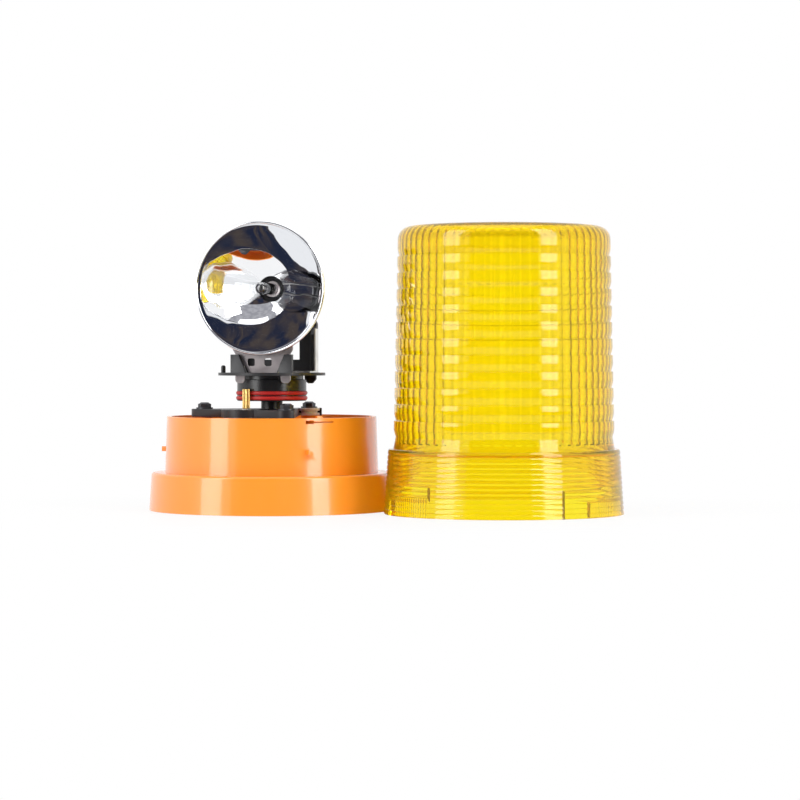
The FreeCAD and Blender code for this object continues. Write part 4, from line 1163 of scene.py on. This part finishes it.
    def inner_rings(self) -> list[Ring | Station]:
        """Return the inner profile, from the middle of the roof to the collar's foot."""
        bore = self.radius - self.wall
        roof = self.height - self.crown - self.roof
        shoulder = self.shoulder - self.roof / 2
        shelf = self.collar_height - self.collar_roof
        lean = self.taper / (roof - shelf)
        top = bore - self.taper
        rings: list[Ring | Station] = [(AXIS_RADIUS, roof)]
        rings += [(top * part, roof) for part in self.cap_parts[:0:-1]]
        low_turn, high_turn = self.shoulder_arc
        middle = (top - shoulder, roof - shoulder)
        bend = arc(middle, shoulder, high_turn, low_turn, self.roof_steps)
        for index, station in enumerate(bend):
            rings.append(partial(self.fluted, *station, min(1.0, index / self.flute_fade)))
        flute_bottom = self.collar_height + self.flute_start
        flute_top = roof - shoulder
        for part in range(self.flute_levels + 1):
            level = flute_top - (flute_top - flute_bottom) * part / self.flute_levels
            rings.append(partial(self.fluted, bore - lean * (level - shelf), level, 1.0))
        rings.append((bore, flute_bottom - self.flute_runout))
        rings += [(bore, shelf), (self.collar_bore, shelf)]
        for upper, inside in ((True, False), (True, True), (False, True), (False, False)):
            rings.append(partial(self.track_edge, upper, inside))
        return [*rings, partial(self.ribbed, self.rib_height), partial(self.ribbed, 0.0)]


# Studio


@dataclass(frozen=True)
class Softbox:
    """A tall soft light that faces a point."""

    name: str
    spot: Point
    aim: Point
    width: float
    height: float
    brightness: float
    colour: Colour = WHITE

    def build(self) -> None:
        """Hang the light."""
        lamp = bpy.data.lights.new(self.name, "AREA")
        lamp.shape = "RECTANGLE"
        lamp.size, lamp.size_y = self.width, self.height
        lamp.energy = math.pi * self.width * self.height * self.brightness
        lamp.color = self.colour
        holder = bpy.data.objects.new(self.name, lamp)
        holder.location = self.spot
        ahead = Vector(self.aim) - Vector(self.spot)
        holder.rotation_euler = ahead.to_track_quat("-Z", "Y").to_euler()
        bpy.context.scene.collection.objects.link(holder)


def stage_piece(name: str, corners: Sequence[Point], material: Material) -> Object:
    """Add a flat piece of the studio.

    Args:
        name: The piece's name.
        corners: Its corners.
        material: Its material.

    Returns:
        The piece.
    """
    mesh = bpy.data.meshes.new(name)
    mesh.from_pydata(corners, [], [tuple(range(len(corners)))])
    mesh.materials.append(material)
    piece = bpy.data.objects.new(name, mesh)
    bpy.context.scene.collection.objects.link(piece)
    return piece


@dataclass(frozen=True)
class Card:
    """A cloudy sheet that only glossy pieces see, folded along a line seen from the side."""

    name: str
    half_width: float
    line: tuple[Station, ...]
    dark: Colour
    pale: Colour
    cloud_scale: float = 2.2
    cloud_edge: tuple[float, float] = (0.4, 0.6)
    blind_to: tuple[str, ...] = ("camera", "diffuse", "transmission", "shadow")

    def material(self) -> Material:
        """Return the sheet's material."""
        material, graph = fresh_material(self.name)
        clouds = graph.mask(graph.noise(self.cloud_scale, 5.0), self.cloud_edge)
        graph.surface(graph.emission(graph.blend(clouds, self.dark, self.pale)))
        return material

    def build(self) -> None:
        """Hang the sheet, one flat strip at a time."""
        material, half = self.material(), self.half_width
        for (near, low), (far, high) in zip(self.line, self.line[1:]):
            corners = [(-half, near, low), (half, near, low), (half, far, high), (-half, far, high)]
            strip = stage_piece(self.name, corners, material)
            for ray in self.blind_to:
                setattr(strip, f"visible_{ray}", False)


@dataclass
class Studio:
    """Pale floor, soft light, cards for the mirror to show and the camera itself."""

    camera_spot: Point = (0.0786, -1.690, 0.094)
    camera_drop: float = 0.915
    focal_length: float = 124.0
    sensor: float = 36.0
    world_light: float = 0.5
    floor_spot: Point = (0.07, 0.0, -0.0002)
    floor_size: float = 8.0
    floor_colour: Colour = (0.86, 0.86, 0.87)
    floor_roughness: tuple[float, float] = (0.28, 0.08)
    floor_cloud_scale: float = 14.0
    floor_stretch: Point = (1.0, 1.4, 1.0)
    floor_glow: tuple[float, float] = (0.86, 1.0)
    floor_fade: tuple[float, float] = (0.12, 0.32)
    softboxes: tuple[Softbox, ...] = (
        Softbox("left_softbox", (-1.065, -0.746, 0.60), (0.05, 0.0, 0.08), 0.55, 1.40, 5.0),
        Softbox("right_softbox", (0.970, -0.860, 0.60), (0.05, 0.0, 0.08), 0.43, 1.40, 6.5),
        Softbox("top_softbox", (0.05, -0.10, 1.60), (0.05, 0.0, 0.0), 1.2, 1.2, 1.2),
    )
    cards: tuple[Card, ...] = (
        Card("dark_card", 1.6, ((-0.45, 0.0005), (-2.2, 0.0005), (-2.2, 1.7)),
             (0.018, 0.024, 0.05), (0.075, 0.06, 0.055)),
        Card("grey_card", 3.0, ((-2.2, 1.7), (-2.2, 4.2), (0.9, 5.0)),
             (0.34, 0.34, 0.37), (0.46, 0.46, 0.49)),
    )

    def build(self) -> None:
        """Set up the studio."""
        self.build_world()
        self.build_floor()
        for fitting in (*self.cards, *self.softboxes):
            fitting.build()
        self.build_camera()
        bpy.context.scene.view_settings.view_transform = "Standard"

    @staticmethod
    def seen(graph: Graph) -> Signal:
        """Return a mask of the rays that should meet plain white.

        Args:
            graph: The nodes that the mask is for.

        Returns:
            The mask.
        """
        camera, glossy, clear = (
            graph.node("ShaderNodeLightPath", output=name)
            for name in ("Is Camera Ray", "Is Glossy Ray", "Is Transmission Ray")
        )
        return camera | glossy | clear

    def build_world(self) -> None:
        """Make the world white to look at and dimmer as a light."""
        world = bpy.data.worlds.new("studio_air")
        bpy.context.scene.world = world
        graph = Graph(world)
        strength = 1 - (1 - self.seen(graph)) * (1 - self.world_light)
        sockets = {"Color": WHITE, "Strength": strength}
        air = graph.node("ShaderNodeBackground", sockets=sockets)
        graph.node_end("ShaderNodeOutputWorld", {"Surface": air})

    def build_floor(self) -> None:
        """Lay the pale floor, which keeps a faint shadow and reflection of the beacon."""
        material, graph = fresh_material("pale_floor")
        least, variety = self.floor_roughness
        roughness = least + graph.noise(self.floor_cloud_scale) * variety
        paint = graph.principled({"Base Color": self.floor_colour, "Roughness": roughness})
        place = {0: graph.place(self.floor_stretch)}
        away = graph.node("ShaderNodeVectorMath", {"operation": "LENGTH"}, place, "Value")
        fade = graph.ramp(away, *zip(self.floor_fade, self.floor_glow))
        shaders = {0: self.seen(graph) * fade, 1: paint, 2: graph.emission(WHITE)}
        graph.surface(graph.node("ShaderNodeMixShader", sockets=shaders))
        reach = self.floor_size / 2
        turns = ((-1, -1), (1, -1), (1, 1), (-1, 1))
        corners = [(across * reach, along * reach, 0.0) for across, along in turns]
        stage_piece("floor", corners, material).location = self.floor_spot

    def build_camera(self) -> None:
        """Set the camera at a low eye level."""
        camera = bpy.data.cameras.new("camera")
        camera.lens = self.focal_length
        camera.sensor_width = self.sensor
        holder = bpy.data.objects.new("camera", camera)
        holder.location = self.camera_spot
        holder.rotation_euler = (math.radians(90.0 - self.camera_drop), 0.0, 0.0)
        bpy.context.scene.collection.objects.link(holder)
        bpy.context.scene.camera = holder


def clear_scene() -> None:
    """Remove whatever Blender starts with."""
    for item in list(bpy.data.objects):
        bpy.data.objects.remove(item, do_unlink=True)


def main() -> None:
    """Load the frame, dress every sub-assembly and set up the studio."""
    logging.basicConfig(level=logging.INFO, format="%(name)s: %(message)s")
    clear_scene()
    bench = Bench(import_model())
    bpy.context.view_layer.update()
    for kind in (BaseShell, Chassis, Drive, Carrier, MirrorAndLamp, Lens):
        sub_assembly = kind(bench)
        sub_assembly.build()
        LOG.info("%s is dressed", type(sub_assembly).__name__)
    Studio().build()
    bpy.context.view_layer.update()


if __name__ == "__main__":
    main()
